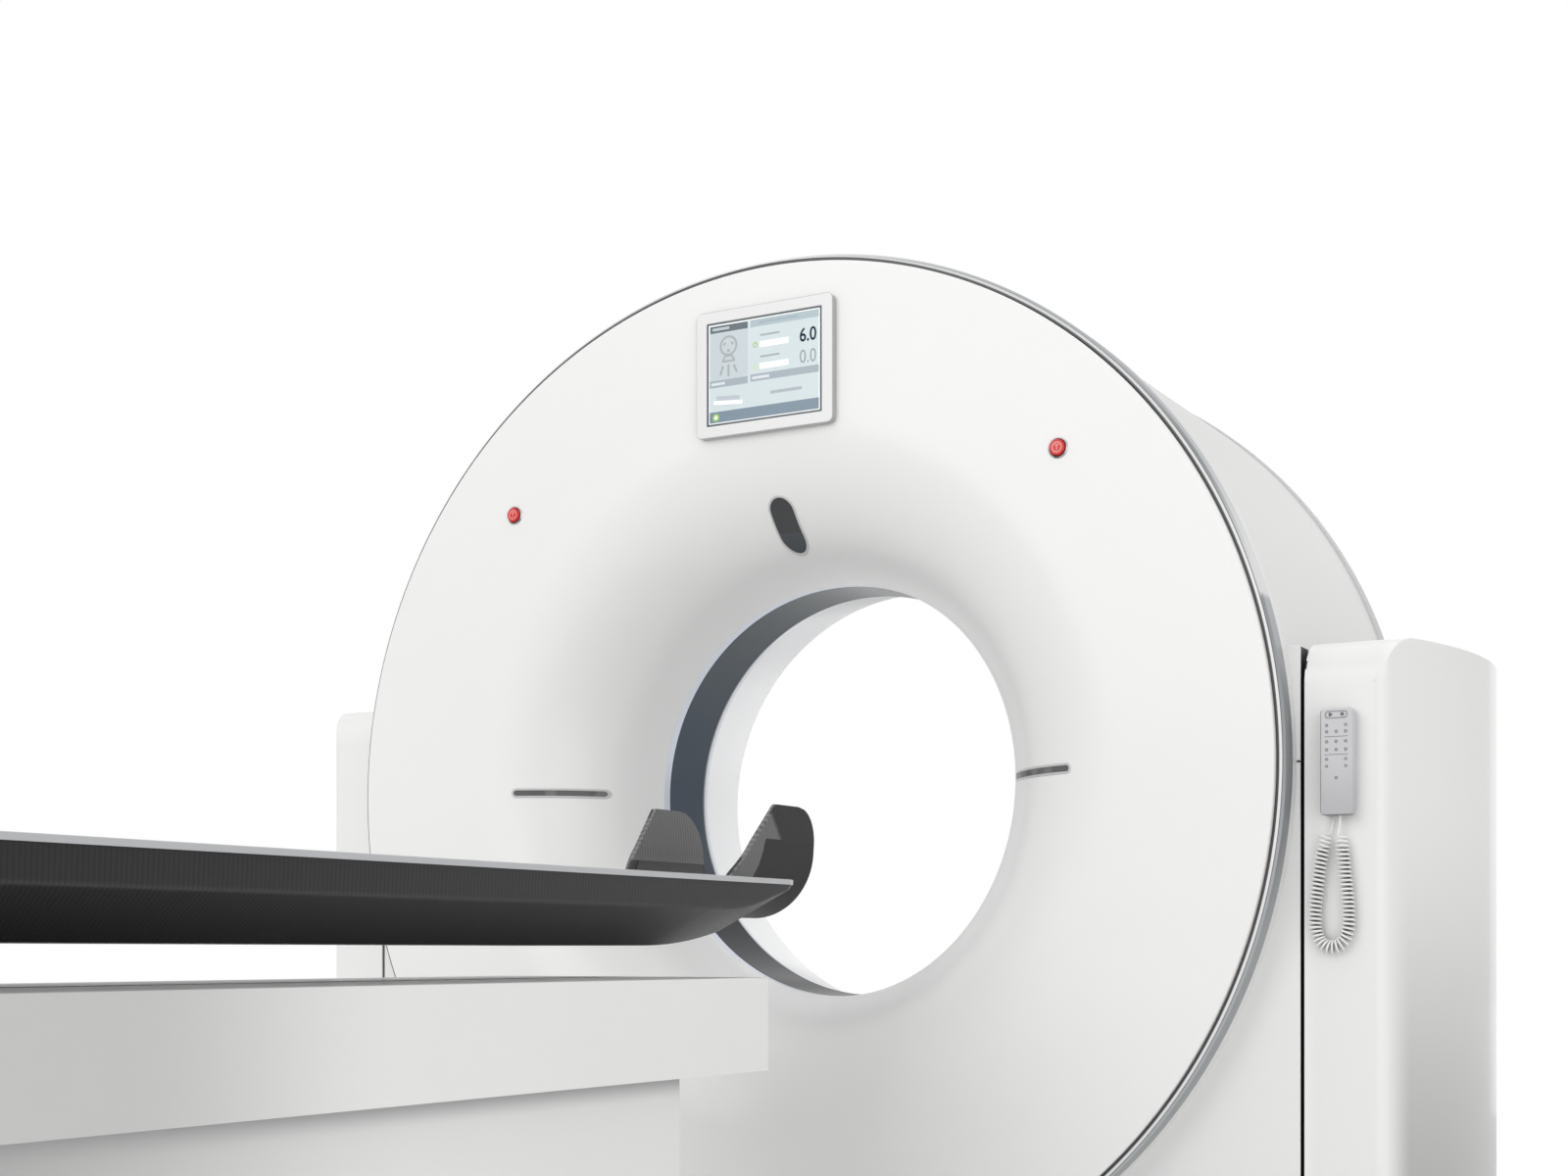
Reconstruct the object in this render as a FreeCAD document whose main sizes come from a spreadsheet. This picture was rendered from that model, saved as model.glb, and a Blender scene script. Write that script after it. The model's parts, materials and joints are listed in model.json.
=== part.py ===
"""A tilting CT scanner: gantry between two pillars, rotor inside it, and a lifting patient table.

Millimetres. +X is to the right seen from the table, +Y runs from the table to the back of the gantry,
+Z is up. The origin is on the floor, straight below the isocentre, in the scan plane.
"""

import FreeCAD, Part
import math
import os

import Sketcher
from FreeCAD import Placement, Rotation, Vector

doc = FreeCAD.newDocument("ct_scanner")

# ---------------------------------------------------------------------------------------------
# Driving sizes
# ---------------------------------------------------------------------------------------------

SIZES = [
    # gantry
    ("iso_height", 1030, "isocentre above the floor"),
    ("bore_radius", 350, "radius of the patient bore at the scan window"),
    ("scan_ring_depth", 112, "dark scan window along the bore"),
    ("lip_depth", 22, "silver lip ahead of the scan window"),
    ("ring_wall", 6, "wall of the scan window, the lip and the bore liner"),
    ("front_reach", 318, "scan plane to the flat front face"),
    ("rear_reach", 491, "scan plane to the flat rear face"),
    ("face_bevel", 10, "bevel at the edge of the front and rear faces"),
    ("cover_rim", 827, "outer radius of the front and rear covers"),
    ("front_trim_radius", 840, "outer radius of the front silver band"),
    ("front_trim_depth", 59, "front silver band along the axis"),
    ("rear_trim_radius", 836, "outer radius of the rear silver band"),
    ("rear_trim_depth", 40, "rear silver band along the axis"),
    ("trim_bevel", 5, "bevel on the edge of a silver band"),
    ("rim_groove", 2, "shadow groove between a cover and its silver band"),
    ("trim_lap", 25, "how far a cover reaches into its silver band"),
    ("front_funnel", 240, "round of the front funnel"),
    ("rear_funnel", 246, "round of the rear funnel"),
    ("liner_end", 232, "scan plane to the end of the straight bore liner"),
    ("liner_flare", 30, "growth of the bore radius along the liner"),
    ("skin", 8, "wall of the moulded covers"),
    ("barrel_radius", 832, "outer radius of the barrel cover"),
    ("cheek_half", 845, "half width of the tilting body at its shoulders"),
    ("shoulder_rise", 168, "shoulders and pillar tops above the isocentre"),
    ("cover_seam", 3, "seam between the upper and lower covers"),
    ("underside_radius", 930, "round underside of the lower cover, about the tilt axis"),
    ("wall_opening", 800, "opening in the end walls of the barrel and lower covers"),
    ("tilt_gap", 6, "running gap between the tilting body and a pillar"),
    # what is set into the front cover
    ("display_width", 252, "display housing"),
    ("display_height", 205, "display housing"),
    ("display_rise", 662, "centre of the display above the isocentre"),
    ("display_proud", 12, "display housing ahead of the front face"),
    ("display_body", 40, "display housing behind the front face"),
    ("display_rim", 8, "flange of the display housing round its body"),
    ("display_corner", 10, "corner radius of the display housing"),
    ("screen_width", 212, "glass of the display"),
    ("screen_height", 167, "glass of the display"),
    ("glass_wall", 2, "thickness of the display glass"),
    ("stop_across", 500, "emergency stops each side of the middle"),
    ("stop_rise", 477, "emergency stops above the isocentre"),
    ("stop_cap_radius", 12, "red cap of an emergency stop"),
    ("stop_bezel_radius", 16, "bezel of an emergency stop"),
    ("stop_travel", 4, "travel of an emergency stop"),
    ("stop_proud", 6, "red cap ahead of the front face"),
    ("side_window_near", 385, "inner end of a side laser window from the middle"),
    ("side_window_far", 512, "outer end of a side laser window from the middle"),
    ("side_window_height", 9, "height of a side laser window"),
    ("top_window_low", 385, "lower end of the top laser window above the isocentre"),
    ("top_window_high", 462, "upper end of the top laser window above the isocentre"),
    ("top_window_width", 42, "width of the top laser window"),
    ("window_bezel", 3, "bezel round a laser window"),
    ("window_wall", 4, "thickness of a laser window and its bezel"),
    ("fit_gap", 0.3, "clearance of pieces set into the covers"),
    # stator and rotor
    ("frame_near", 170, "scan plane to the front of the tilt frame plate"),
    ("frame_plate", 50, "thickness of the tilt frame plate"),
    ("frame_inner", 500, "inner radius of the tilt frame plate"),
    ("frame_outer", 800, "outer radius of the tilt frame plate"),
    ("arm_inner", 778, "inner face of a trunnion arm from the middle"),
    ("arm_half", 120, "half height of a trunnion arm"),
    ("trunnion_radius", 50, "tilt trunnion"),
    ("trunnion_end", 985, "end of a trunnion from the middle"),
    ("running_gap", 0.05, "radial clearance of a shaft in its bore"),
    ("rotor_inner", 400, "inner radius of the rotor disc"),
    ("rotor_outer", 760, "outer radius of the rotor disc"),
    ("rotor_near", 70, "scan plane to the front of the rotor disc"),
    ("rotor_plate", 30, "thickness of the rotor disc"),
    ("race_inner", 440, "inner radius of the main bearing"),
    ("race_split", 480, "radius where the two races meet"),
    ("race_outer", 540, "outer radius of the main bearing"),
    ("race_depth", 60, "width of a bearing race"),
    ("focus_radius", 540, "focal spot from the isocentre"),
    ("tube_radius", 90, "X-ray tube housing"),
    ("tube_depth", 250, "length of the X-ray tube housing"),
    ("detector_reach", 950, "focal spot to the face of the detector"),
    ("detector_thick", 60, "depth of the detector modules"),
    ("detector_half", 430, "half width of the detector arc"),
    ("detector_ahead", 60, "detector ahead of the scan plane"),
    ("rotor_box_ahead", 160, "generator ahead of the scan plane"),
    ("generator_near", 470, "inner side of the generator from the middle"),
    ("generator_far", 700, "outer side of the generator from the middle"),
    ("generator_half", 180, "half height of the generator"),
    ("counter_near", 520, "inner side of the counterweight from the middle"),
    ("counter_half", 150, "half height of the counterweight"),
    ("slip_inner", 600, "inner radius of the slip ring"),
    ("slip_outer", 650, "outer radius of the slip ring"),
    ("slip_depth", 30, "width of the slip ring"),
    ("belt_wall", 6, "thickness of the drive belt"),
    ("belt_width", 26, "width of the drive belt"),
    ("pulley_radius", 50, "motor pulley"),
    ("pulley_across", 640, "motor pulley left of the middle"),
    ("pulley_drop", 530, "motor pulley below the isocentre"),
    ("lug_plate", 20, "motor lug of the tilt frame"),
    ("motor_radius", 70, "rotor drive motor"),
    ("motor_depth", 150, "rotor drive motor"),
    ("motor_shaft_radius", 12, "shaft of the rotor drive motor"),
    # pillars
    ("pillar_width", 113, "front face of a pillar, gap to outer edge"),
    ("pillar_bulge", 76, "bulge of a pillar's outer side"),
    ("pillar_depth", 672, "pillar from front to back"),
    ("pillar_round", 65, "rounded front and rear edges of a pillar's top"),
    ("pillar_edge", 14, "rounded front and rear edges of a pillar"),
    ("pillar_rise", 7, "top of the pillars above the shoulders of the tilting body"),
    ("liner_plate", 6, "inner panel of a pillar"),
    ("column_width", 83, "steel column in a pillar, across"),
    ("column_half", 120, "half depth of the steel column"),
    ("column_wall", 10, "wall of the steel column"),
    ("bearing_half", 75, "half size of a tilt bearing block"),
    ("bearing_width", 60, "tilt bearing block along its shaft"),
    ("gearbox_half", 80, "half height of the tilt gearbox"),
    ("gearbox_width", 56, "tilt gearbox along the trunnion"),
    ("gearbox_foot", 65, "how far the gearbox reaches down its column"),
    ("tilt_motor_radius", 26, "tilt motor"),
    ("tilt_motor_length", 180, "tilt motor"),
    ("foot_plate", 20, "thickness of a foot plate"),
    ("foot_outer", 1010, "outer edge of a foot plate from the middle"),
    ("foot_inset", 6, "foot plate in from the front and back of its pillar"),
    ("foot_rail", 45, "height of the rails between the foot plates"),
    ("foot_rail_width", 60, "width of the rails between the foot plates"),
    ("anchor_across", 960, "gantry floor anchors each side of the middle"),
    ("anchor_along", 170, "gantry floor anchors ahead of and behind the scan plane"),
    ("anchor_radius", 9, "floor anchor hole"),
    # handset
    ("handset_left", 880.5, "left edge of the handset from the middle"),
    ("handset_width", 46, "handset"),
    ("handset_top", 71, "top of the handset above the isocentre"),
    ("handset_height", 152, "handset"),
    ("handset_thick", 20, "handset"),
    ("handset_corner", 6, "corner radius of the handset"),
    ("dock_thick", 6, "plate that the handset hangs on"),
    ("keypad_inset", 4, "keypad in from the handset's edge"),
    ("keypad_thick", 0.6, "keypad film"),
    ("key_pocket_width", 30, "pocket at the top of the handset"),
    ("key_pocket_height", 9, "pocket at the top of the handset"),
    ("key_pocket_depth", 1.5, "pocket at the top of the handset"),
    ("cord_wire", 3, "diameter of the handset cord"),
    ("curl_off", 1.5, "curls off the pillar's face"),
    ("curl_outer", 20, "outer diameter of the cord's curls"),
    # table
    ("cradle_drop", 172, "top of the cradle below the isocentre"),
    ("cradle_half", 230, "half width of the cradle"),
    ("cradle_length", 2400, "cradle"),
    ("nose_reach", 612, "scan plane to the cradle's nose"),
    ("nose_run", 238, "length of the cradle's swept nose"),
    ("nose_lift", 30, "rise of the hull at the nose"),
    ("nose_taper", 35, "narrowing of the cradle at the nose, each side"),
    ("strip_height", 7.5, "light edge strip of the cradle"),
    ("strip_width", 16, "light edge strip of the cradle"),
    ("crease_drop", 44, "crease of the hull below the cradle's top"),
    ("hull_drop", 94, "bottom of the hull below the cradle's top"),
    ("keel_half", 110, "half width of the hull's flat bottom"),
    ("trough_drop", 45, "patient trough below the cradle's top"),
    ("trough_half", 120, "half width of the trough's flat bottom"),
    ("holder_radius", 106, "outer radius of the head holder"),
    ("holder_wall", 9, "wall of the head holder"),
    ("holder_rise", 115, "centre of the holder's round below the isocentre"),
    ("holder_top", 51, "top of the holder's wings below the isocentre"),
    ("holder_flare", 7, "how far the wings lean out"),
    ("holder_end", 356, "scan plane to the gantry end of the head holder"),
    ("holder_shoulder", 404, "scan plane to the front of the wings' tops"),
    ("holder_crest", 484, "scan plane to the back of the wings' tops"),
    ("holder_heel", 586, "scan plane to the heel of the wings"),
    ("holder_heel_drop", 157, "heel of the wings below the isocentre"),
    ("holder_corner", 62, "rounded upper corner of the wings"),
    ("tongue_length", 150, "tongue of the holder on the cradle"),
    ("tongue_half", 60, "half width of the tongue"),
    ("bed_drop", 310, "top of the bed below the isocentre"),
    ("bed_height", 129, "bed cover"),
    ("bed_half", 230, "half width of the bed"),
    ("bed_front", 713, "scan plane to the gantry end of the bed"),
    ("bed_length", 2150, "bed cover"),
    ("bed_round", 4, "rounded edges of the bed cover"),
    ("bed_wall", 6, "wall of the bed cover and the skirts"),
    ("slot_half", 32, "half width of the slot for the carriage"),
    ("beam_near", 140, "bed beam from the middle, inner side"),
    ("beam_far", 180, "bed beam from the middle, outer side"),
    ("beam_height", 80, "bed beam"),
    ("rail_height", 12, "linear rail on a bed beam"),
    ("rail_width", 20, "linear rail on a bed beam"),
    ("carriage_length", 300, "carriage under the cradle"),
    ("cradle_out", 350, "travel of the cradle away from the gantry"),
    ("cradle_in", 1400, "travel of the cradle into the gantry"),
    ("buffer", 10, "left of the rails at each end of the cradle's travel"),
    ("rail_margin", 20, "beams and rails in from the ends of the bed"),
    ("carriage_plate", 10, "carriage plate"),
    ("post_half", 25, "half width of the carriage post"),
    ("shoe_height", 6, "bearing shoe over a rail"),
    ("shoe_length", 90, "bearing shoe along a rail"),
    ("pedestal_front", 897, "scan plane to the gantry end of the pedestal"),
    ("pedestal_length", 1546, "pedestal"),
    ("pedestal_half", 200, "half width of the upper skirt"),
    ("skirt_gap", 0.8, "gap between two skirts"),
    ("skirt_height", 265, "height of a skirt"),
    ("stage_rest", 5, "gap left under a middle stage when the table is down"),
    ("lift_down", 300, "travel of the table below its rest height"),
    ("mast_height", 255, "height of a stage of the lifting column"),
    ("table_plate", 20, "floor plate of the table"),
    ("channel_half", 90, "half width of the floor channel from the table to the gantry"),
    ("mast_half", 110, "half width of the outer lifting column"),
    ("mast_wall", 8, "wall of the lifting column"),
    ("mast_gap", 0.5, "clearance between two stages of the column"),
    ("screw_radius", 15, "lift screw"),
    ("nut_height", 35, "nut of the lift screw"),
    ("nut_bridge", 10, "bridge that carries the nut"),
    ("lift_motor_radius", 60, "lift motor"),
    ("lift_motor_height", 180, "lift motor"),
    ("table_anchor_across", 150, "table anchors each side of the middle"),
    ("table_anchor_along", 600, "table anchors each way from the pedestal's middle"),
]

sheet = doc.addObject("Spreadsheet::Sheet", "Sizes")
for row, (alias, value, note) in enumerate(SIZES, 1):
    sheet.set(f"A{row}", note)
    sheet.set(f"B{row}", str(value))
    sheet.setAlias(f"B{row}", alias)
doc.recompute()


class Size:
    """A length that carries its value and the expression that gives it."""

    def __init__(self, value, text):
        self.value = float(value)
        self.text = text

    def of(other):
        return other if isinstance(other, Size) else Size(other, repr(other))

    def __add__(self, other):
        other = Size.of(other)
        return Size(self.value + other.value, f"({self.text} + {other.text})")

    def __sub__(self, other):
        other = Size.of(other)
        return Size(self.value - other.value, f"({self.text} - {other.text})")

    def __mul__(self, other):
        other = Size.of(other)
        return Size(self.value * other.value, f"({self.text} * {other.text})")

    def __truediv__(self, other):
        other = Size.of(other)
        return Size(self.value / other.value, f"({self.text} / {other.text})")

    def __radd__(self, other):
        return Size.of(other) + self

    def __rsub__(self, other):
        return Size.of(other) - self

    def __rmul__(self, other):
        return Size.of(other) * self

    def __neg__(self):
        return Size(-self.value, f"(0 - {self.text})")

    def root(self):
        return Size(math.sqrt(self.value), f"sqrt({self.text})")


class SheetReader:
    """Gives each cell of the sheet by its alias, as S.alias."""

    def __getattr__(self, alias):
        return Size(sheet.get(alias), f"Sizes.{alias}")


S = SheetReader()
ISO = S.iso_height
PLANE_AXES = {"XY_Plane": 1, "XZ_Plane": -1, "YZ_Plane": 1}
NODES = []
SEAM_TURN = 150  # degrees: where a turned surface closes, away from every cut-out

# ---------------------------------------------------------------------------------------------
# Building blocks
# ---------------------------------------------------------------------------------------------


def bind(obj, path, size):
    """Set a property by an expression on the sheet."""
    obj.setExpression(path, Size.of(size).text)


def node(obj, label):
    """Name a finished sub-part, which is written to a file of that name."""
    obj.Label = label
    NODES.append(obj)
    return obj


def origin_plane(body, role):
    return next(f for f in body.Origin.OriginFeatures if f.Role == role)


def arc_between(start, end, bend):
    """The short arc from start to end, its centre on the left of the way for a positive bend."""
    radius = abs(bend)
    chord = end - start
    middle = (start + end) * 0.5
    height = math.sqrt(max(radius**2 - (chord.Length / 2) ** 2, 0.0))
    left = Vector(-chord.y, chord.x, 0).normalize()
    centre = middle + left * (height if bend > 0 else -height)
    crest = centre + (middle - centre).normalize() * radius if height > 1e-9 else centre - left * (
        radius if bend > 0 else -radius
    )
    return Part.Arc(start, crest, end)


def draw_outline(sketch, corners):
    """A closed outline of (across, up) corners. A third value bends the edge to the next corner."""
    first = sketch.GeometryCount
    points = [Vector(Size.of(c[0]).value, Size.of(c[1]).value, 0) for c in corners]
    count = len(corners)
    for k, corner in enumerate(corners):
        ahead = points[(k + 1) % count]
        bend = Size.of(corner[2]).value if len(corner) > 2 else 0
        edge = arc_between(points[k], ahead, bend) if bend else Part.LineSegment(points[k], ahead)
        sketch.addGeometry(edge, False)
    ends = []
    for k, corner in enumerate(corners):
        bend = Size.of(corner[2]).value if len(corner) > 2 else 0
        ends.append((2, 1) if bend < 0 else (1, 2))
    for k in range(count):
        here, there = first + k, first + (k + 1) % count
        sketch.addConstraint(
            Sketcher.Constraint("Coincident", here, ends[k][1], there, ends[(k + 1) % count][0])
        )
    for k, corner in enumerate(corners):
        for kind, size, value in (
            ("DistanceX", corner[0], points[k].x),
            ("DistanceY", corner[1], points[k].y),
        ):
            index = sketch.addConstraint(Sketcher.Constraint(kind, first + k, ends[k][0], value))
            sketch.setExpression(f"Constraints[{index}]", Size.of(size).text)
        if len(corner) > 2:
            bend = Size.of(corner[2])
            size = bend if bend.value > 0 else -bend
            index = sketch.addConstraint(Sketcher.Constraint("Radius", first + k, size.value))
            sketch.setExpression(f"Constraints[{index}]", size.text)


def new_sketch(body, plane, outlines, offset=0):
    """A sketch on one of the body's origin planes, moved along the row's axis by offset."""
    sketch = body.newObject("Sketcher::SketchObject", f"{body.Name}Sketch")
    sketch.AttachmentSupport = [(origin_plane(body, plane), "")]
    sketch.MapMode = "FlatFace"
    bind(sketch, "AttachmentOffset.Base.z", PLANE_AXES[plane] * Size.of(offset))
    for corners in outlines:
        draw_outline(sketch, corners)
    return sketch


def turned(name, *outlines):
    """A body turned about the bore's axis: each outline holds (along the axis, radius) corners."""
    body = doc.addObject("PartDesign::Body", name)
    body.Placement = Placement(Vector(), Rotation(Vector(0, 1, 0), SEAM_TURN))
    bind(body, "Placement.Base.z", ISO)
    sketch = new_sketch(body, "YZ_Plane", outlines)
    turn = body.newObject("PartDesign::Revolution", f"{name}Turn")
    turn.Profile = sketch
    turn.ReferenceAxis = (sketch, ["H_Axis"])
    turn.Angle = 360
    return body


def extruded(name, plane, outlines, start, end):
    """A body padded from a sketch on a plane across the row's third axis, from start to end."""
    body = doc.addObject("PartDesign::Body", name)
    sketch = new_sketch(body, plane, outlines, start)
    pad = body.newObject("PartDesign::Pad", f"{name}Pad")
    pad.Profile = sketch
    pad.Reversed = PLANE_AXES[plane] < 0
    bind(pad, "Length", Size.of(end) - start)
    return body


def rounded(body, radius, wanted):
    """Round the edges of a body's last feature that wanted() picks."""
    doc.recompute()
    base = body.Tip
    picked = [f"Edge{i}" for i, edge in enumerate(base.Shape.Edges, 1) if wanted(edge)]
    fillet = body.newObject("PartDesign::Fillet", f"{body.Name}Round")
    fillet.Base = (base, picked)
    bind(fillet, "Radius", radius)
    return body


def block(x, y, z):
    """A box between its limits (low, high) along each axis."""
    box = doc.addObject("Part::Box", "Block")
    for (low, high), length, axis in zip((x, y, z), ("Length", "Width", "Height"), "xyz"):
        bind(box, length, Size.of(high) - low)
        bind(box, f"Placement.Base.{axis}", low)
    return box


ROD_TURNS = {
    "x": Rotation(Vector(0, 1, 0), 90),
    "y": Rotation(Vector(1, 0, 0), -90),
    "z": Rotation(),
}


def rod(axis, centre, radius, start, end):
    """A cylinder along an axis. centre gives the two other coordinates in X, Y, Z order."""
    cylinder = doc.addObject("Part::Cylinder", "Rod")
    cylinder.Placement = Placement(Vector(), ROD_TURNS[axis])
    bind(cylinder, "Radius", radius)
    bind(cylinder, "Height", Size.of(end) - start)
    others = iter(centre)
    for name in "xyz":
        bind(cylinder, f"Placement.Base.{name}", start if name == axis else next(others))
    return cylinder


def fuse(*shapes):
    joined = doc.addObject("Part::MultiFuse", "Fusion")
    joined.Shapes = list(shapes)
    joined.Refine = True
    return joined


def cut(base, *tools):
    result = doc.addObject("Part::Cut", "Cut")
    result.Base = base
    result.Tool = tools[0] if len(tools) == 1 else fuse(*tools)
    return result


def common(*shapes):
    result = doc.addObject("Part::MultiCommon", "Common")
    result.Shapes = list(shapes)
    return result


def group(*shapes):
    """Like pieces that stay separate solids in one node."""
    result = doc.addObject("Part::Compound", "Group")
    result.Links = list(shapes)
    return result


def mirrored(shape):
    """The twin of a shape on the other side of the middle plane."""
    twin = doc.addObject("Part::Mirroring", "Twin")
    twin.Source = shape
    twin.Normal = Vector(1, 0, 0)
    return twin


def sided(sign, near, far):
    """The limits of a stretch from near to far of the middle, on the side that sign gives."""
    return (near, far) if sign > 0 else (-far, -near)


def rectangle(low_across, high_across, low_up, high_up):
    return [
        (low_across, low_up),
        (high_across, low_up),
        (high_across, high_up),
        (low_across, high_up),
    ]


def round_rectangle(low_across, high_across, low_up, high_up, corner):
    """A rectangle with round corners, anticlockwise from its lower edge."""
    return [
        (low_across + corner, low_up),
        (high_across - corner, low_up, corner),
        (high_across, low_up + corner),
        (high_across, high_up - corner, corner),
        (high_across - corner, high_up),
        (low_across + corner, high_up, corner),
        (low_across, high_up - corner),
        (low_across, low_up + corner, corner),
    ]


# ---------------------------------------------------------------------------------------------
# Gantry covers
# ---------------------------------------------------------------------------------------------

RING_HALF = S.scan_ring_depth / 2
LIP_FRONT = -(RING_HALF + S.lip_depth)
FRONT_FACE = -S.front_reach
FRONT_EDGE = FRONT_FACE + S.face_bevel
SHELL_FRONT = FRONT_EDGE + S.front_trim_depth
REAR_FACE = S.rear_reach
REAR_EDGE = REAR_FACE - S.face_bevel
SHELL_REAR = REAR_EDGE - S.rear_trim_depth
FUNNEL_MOUTH = S.bore_radius + S.front_funnel
LINER_RADIUS = S.bore_radius + S.liner_flare
REAR_MOUTH = LINER_RADIUS + S.rear_funnel
SHOULDER = ISO + S.shoulder_rise


def funnel_back(centre_along, centre_radius, reach, sign):
    """The hidden side of a funnel: three straight stretches from the mouth in to the bore."""
    corners = []
    for k in (0, 1, 2, 3):
        turn = math.radians(90 - 30 * k)
        corners.append(
            (
                centre_along + sign * reach * round(math.sin(turn), 4),
                centre_radius - reach * round(math.cos(turn), 4),
            )
        )
    return corners


def funnel_layer(where, depth_in, depth_out, half):
    """A strip of the front funnel between two depths under its surface, where a window is."""
    inner, outer = S.front_funnel - depth_out, S.front_funnel - depth_in
    corners = [
        (LIP_FRONT, FUNNEL_MOUTH - outer, -outer),
        (LIP_FRONT - outer, FUNNEL_MOUTH),
        (LIP_FRONT - inner, FUNNEL_MOUTH, inner),
        (LIP_FRONT, FUNNEL_MOUTH - inner),
    ]
    if where == "top":
        strip = [(along, ISO + radius, *bend) for along, radius, *bend in corners]
        return extruded("TopLayer", "YZ_Plane", [strip], -half, half)
    if where == "left":
        strip = [(-radius, along, *bend) for along, radius, *bend in corners]
    else:
        strip = [(radius, along, *[-b for b in bend]) for along, radius, *bend in corners]
    return extruded("SideLayer", "XY_Plane", [strip], ISO - half, ISO + half)


def display_box(width, height, front, back, corner):
    """A round-cornered slab on the display's centre."""
    return extruded(
        "DisplaySlab",
        "XZ_Plane",
        [
            round_rectangle(
                -width / 2,
                width / 2,
                ISO + S.display_rise - height / 2,
                ISO + S.display_rise + height / 2,
                corner,
            )
        ],
        front,
        back,
    )


DISPLAY_FRONT = FRONT_FACE - S.display_proud
DISPLAY_BACK = FRONT_FACE + S.display_body
STOP_Z = ISO + S.stop_rise


def stadium(low, high, low_up, high_up):
    """A slot with half-round ends, lying or standing by its longer side."""
    if (high - low).value > (high_up - low_up).value:
        end = (high_up - low_up) / 2
        middle = (low_up + high_up) / 2
        return [
            (low + end, low_up),
            (high - end, low_up, end),
            (high, middle, end),
            (high - end, high_up),
            (low + end, high_up, end),
            (low, middle, end),
        ]
    end = (high - low) / 2
    middle = (low + high) / 2
    return [
        (high, low_up + end),
        (high, high_up - end, end),
        (middle, high_up, end),
        (low, high_up - end),
        (low, low_up + end, end),
        (middle, low_up, end),
    ]


def window_prism(grow, where):
    """The prism of a laser window: "top", "left" or "right", grown by a margin."""
    if where == "top":
        half = S.top_window_width / 2 + grow
        limits = (-half, half, ISO + S.top_window_low - grow, ISO + S.top_window_high + grow)
    else:
        half = S.side_window_height / 2 + grow
        near, far = S.side_window_near - grow, S.side_window_far + grow
        across = (near, far) if where == "right" else (-far, -near)
        limits = (*across, ISO - half, ISO + half)
    return extruded("WindowPrism", "XZ_Plane", [stadium(*limits)], FRONT_FACE - 20, LIP_FRONT)


WINDOWS = ("top", "left", "right")


def front_cover():
    """The moulded front: flat face, funnel, skirt, and the openings for what is set into it."""
    shell = turned(
        "FrontShell",
        [
            (LIP_FRONT, S.bore_radius, -S.front_funnel),
            (FRONT_FACE, FUNNEL_MOUTH),
            (FRONT_FACE, S.cover_rim - S.face_bevel),
            (FRONT_EDGE, S.cover_rim),
            (FRONT_EDGE + S.trim_lap, S.cover_rim),
            (FRONT_EDGE + S.trim_lap, S.cover_rim - S.skin),
            (FRONT_FACE + S.skin, S.cover_rim - S.skin),
            *funnel_back(LIP_FRONT, FUNNEL_MOUTH, S.front_funnel - S.skin, -1),
        ],
    )
    body_width = S.display_width - 2 * S.display_rim
    body_height = S.display_height - 2 * S.display_rim
    tools = [
        display_box(
            body_width + 2 * S.fit_gap,
            body_height + 2 * S.fit_gap,
            FRONT_FACE - 20,
            DISPLAY_BACK,
            S.display_corner,
        )
    ]
    for sign in (-1, 1):
        tools.append(
            rod(
                "y",
                (sign * S.stop_across, STOP_Z),
                S.stop_bezel_radius - 3 + S.fit_gap,
                FRONT_FACE - 20,
                FRONT_FACE + 20,
            )
        )
    for where in WINDOWS:
        tools.append(window_prism(S.window_bezel + S.fit_gap, where))
    node(cut(shell, *tools), "front_cover")


def laser_windows():
    """Dark windows and their light bezels, flush with the funnel they are set into."""
    bezels = []
    for where in WINDOWS:
        half = S.top_window_width if where == "top" else S.side_window_height * 2
        glass = funnel_layer(where, Size.of(0), S.window_wall, half)
        node(common(glass, window_prism(Size.of(0), where)), f"laser_window_{where}")
        band = funnel_layer(where, Size.of(-1), S.skin, half)
        ring = cut(window_prism(S.window_bezel, where), window_prism(Size.of(0), where))
        bezels.append(common(band, ring))
    node(group(*bezels), "laser_bezels")


def display():
    housing = fuse(
        display_box(S.display_width, S.display_height, DISPLAY_FRONT, FRONT_FACE, S.display_corner),
        display_box(
            S.display_width - 2 * S.display_rim,
            S.display_height - 2 * S.display_rim,
            FRONT_FACE,
            DISPLAY_BACK,
            S.display_corner,
        ),
    )
    corner = S.display_corner / 5
    recess = display_box(
        S.screen_width, S.screen_height, DISPLAY_FRONT, DISPLAY_FRONT + S.glass_wall + 1, corner
    )
    node(cut(housing, recess), "display_housing")
    glass = display_box(
        S.screen_width,
        S.screen_height,
        DISPLAY_FRONT + 1,
        DISPLAY_FRONT + S.glass_wall + 1,
        corner,
    )
    node(glass, "display_glass")


def emergency_stops():
    """Two red buttons, each sliding in a silver bezel."""
    bore = S.stop_cap_radius + S.fit_gap
    bezels = []
    for sign in (-1, 1):
        at = (sign * S.stop_across, STOP_Z)
        sleeve = S.stop_bezel_radius - 3
        bezels.append(
            cut(
                fuse(
                    rod("y", at, S.stop_bezel_radius, FRONT_FACE - 4, FRONT_FACE),
                    rod("y", at, sleeve, FRONT_FACE, FRONT_FACE + 24),
                ),
                rod("y", at, bore, FRONT_FACE - 10, FRONT_FACE + 20),
            )
        )
    node(group(*bezels), "stop_bezels")
    for side, sign in (("left", -1), ("right", 1)):
        at = (sign * S.stop_across, STOP_Z)
        stem_end = FRONT_FACE + 20 - S.stop_travel - 1
        cap = rod("y", at, S.stop_cap_radius, FRONT_FACE - S.stop_proud, stem_end)
        node(cap, f"stop_button_{side}")


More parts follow.
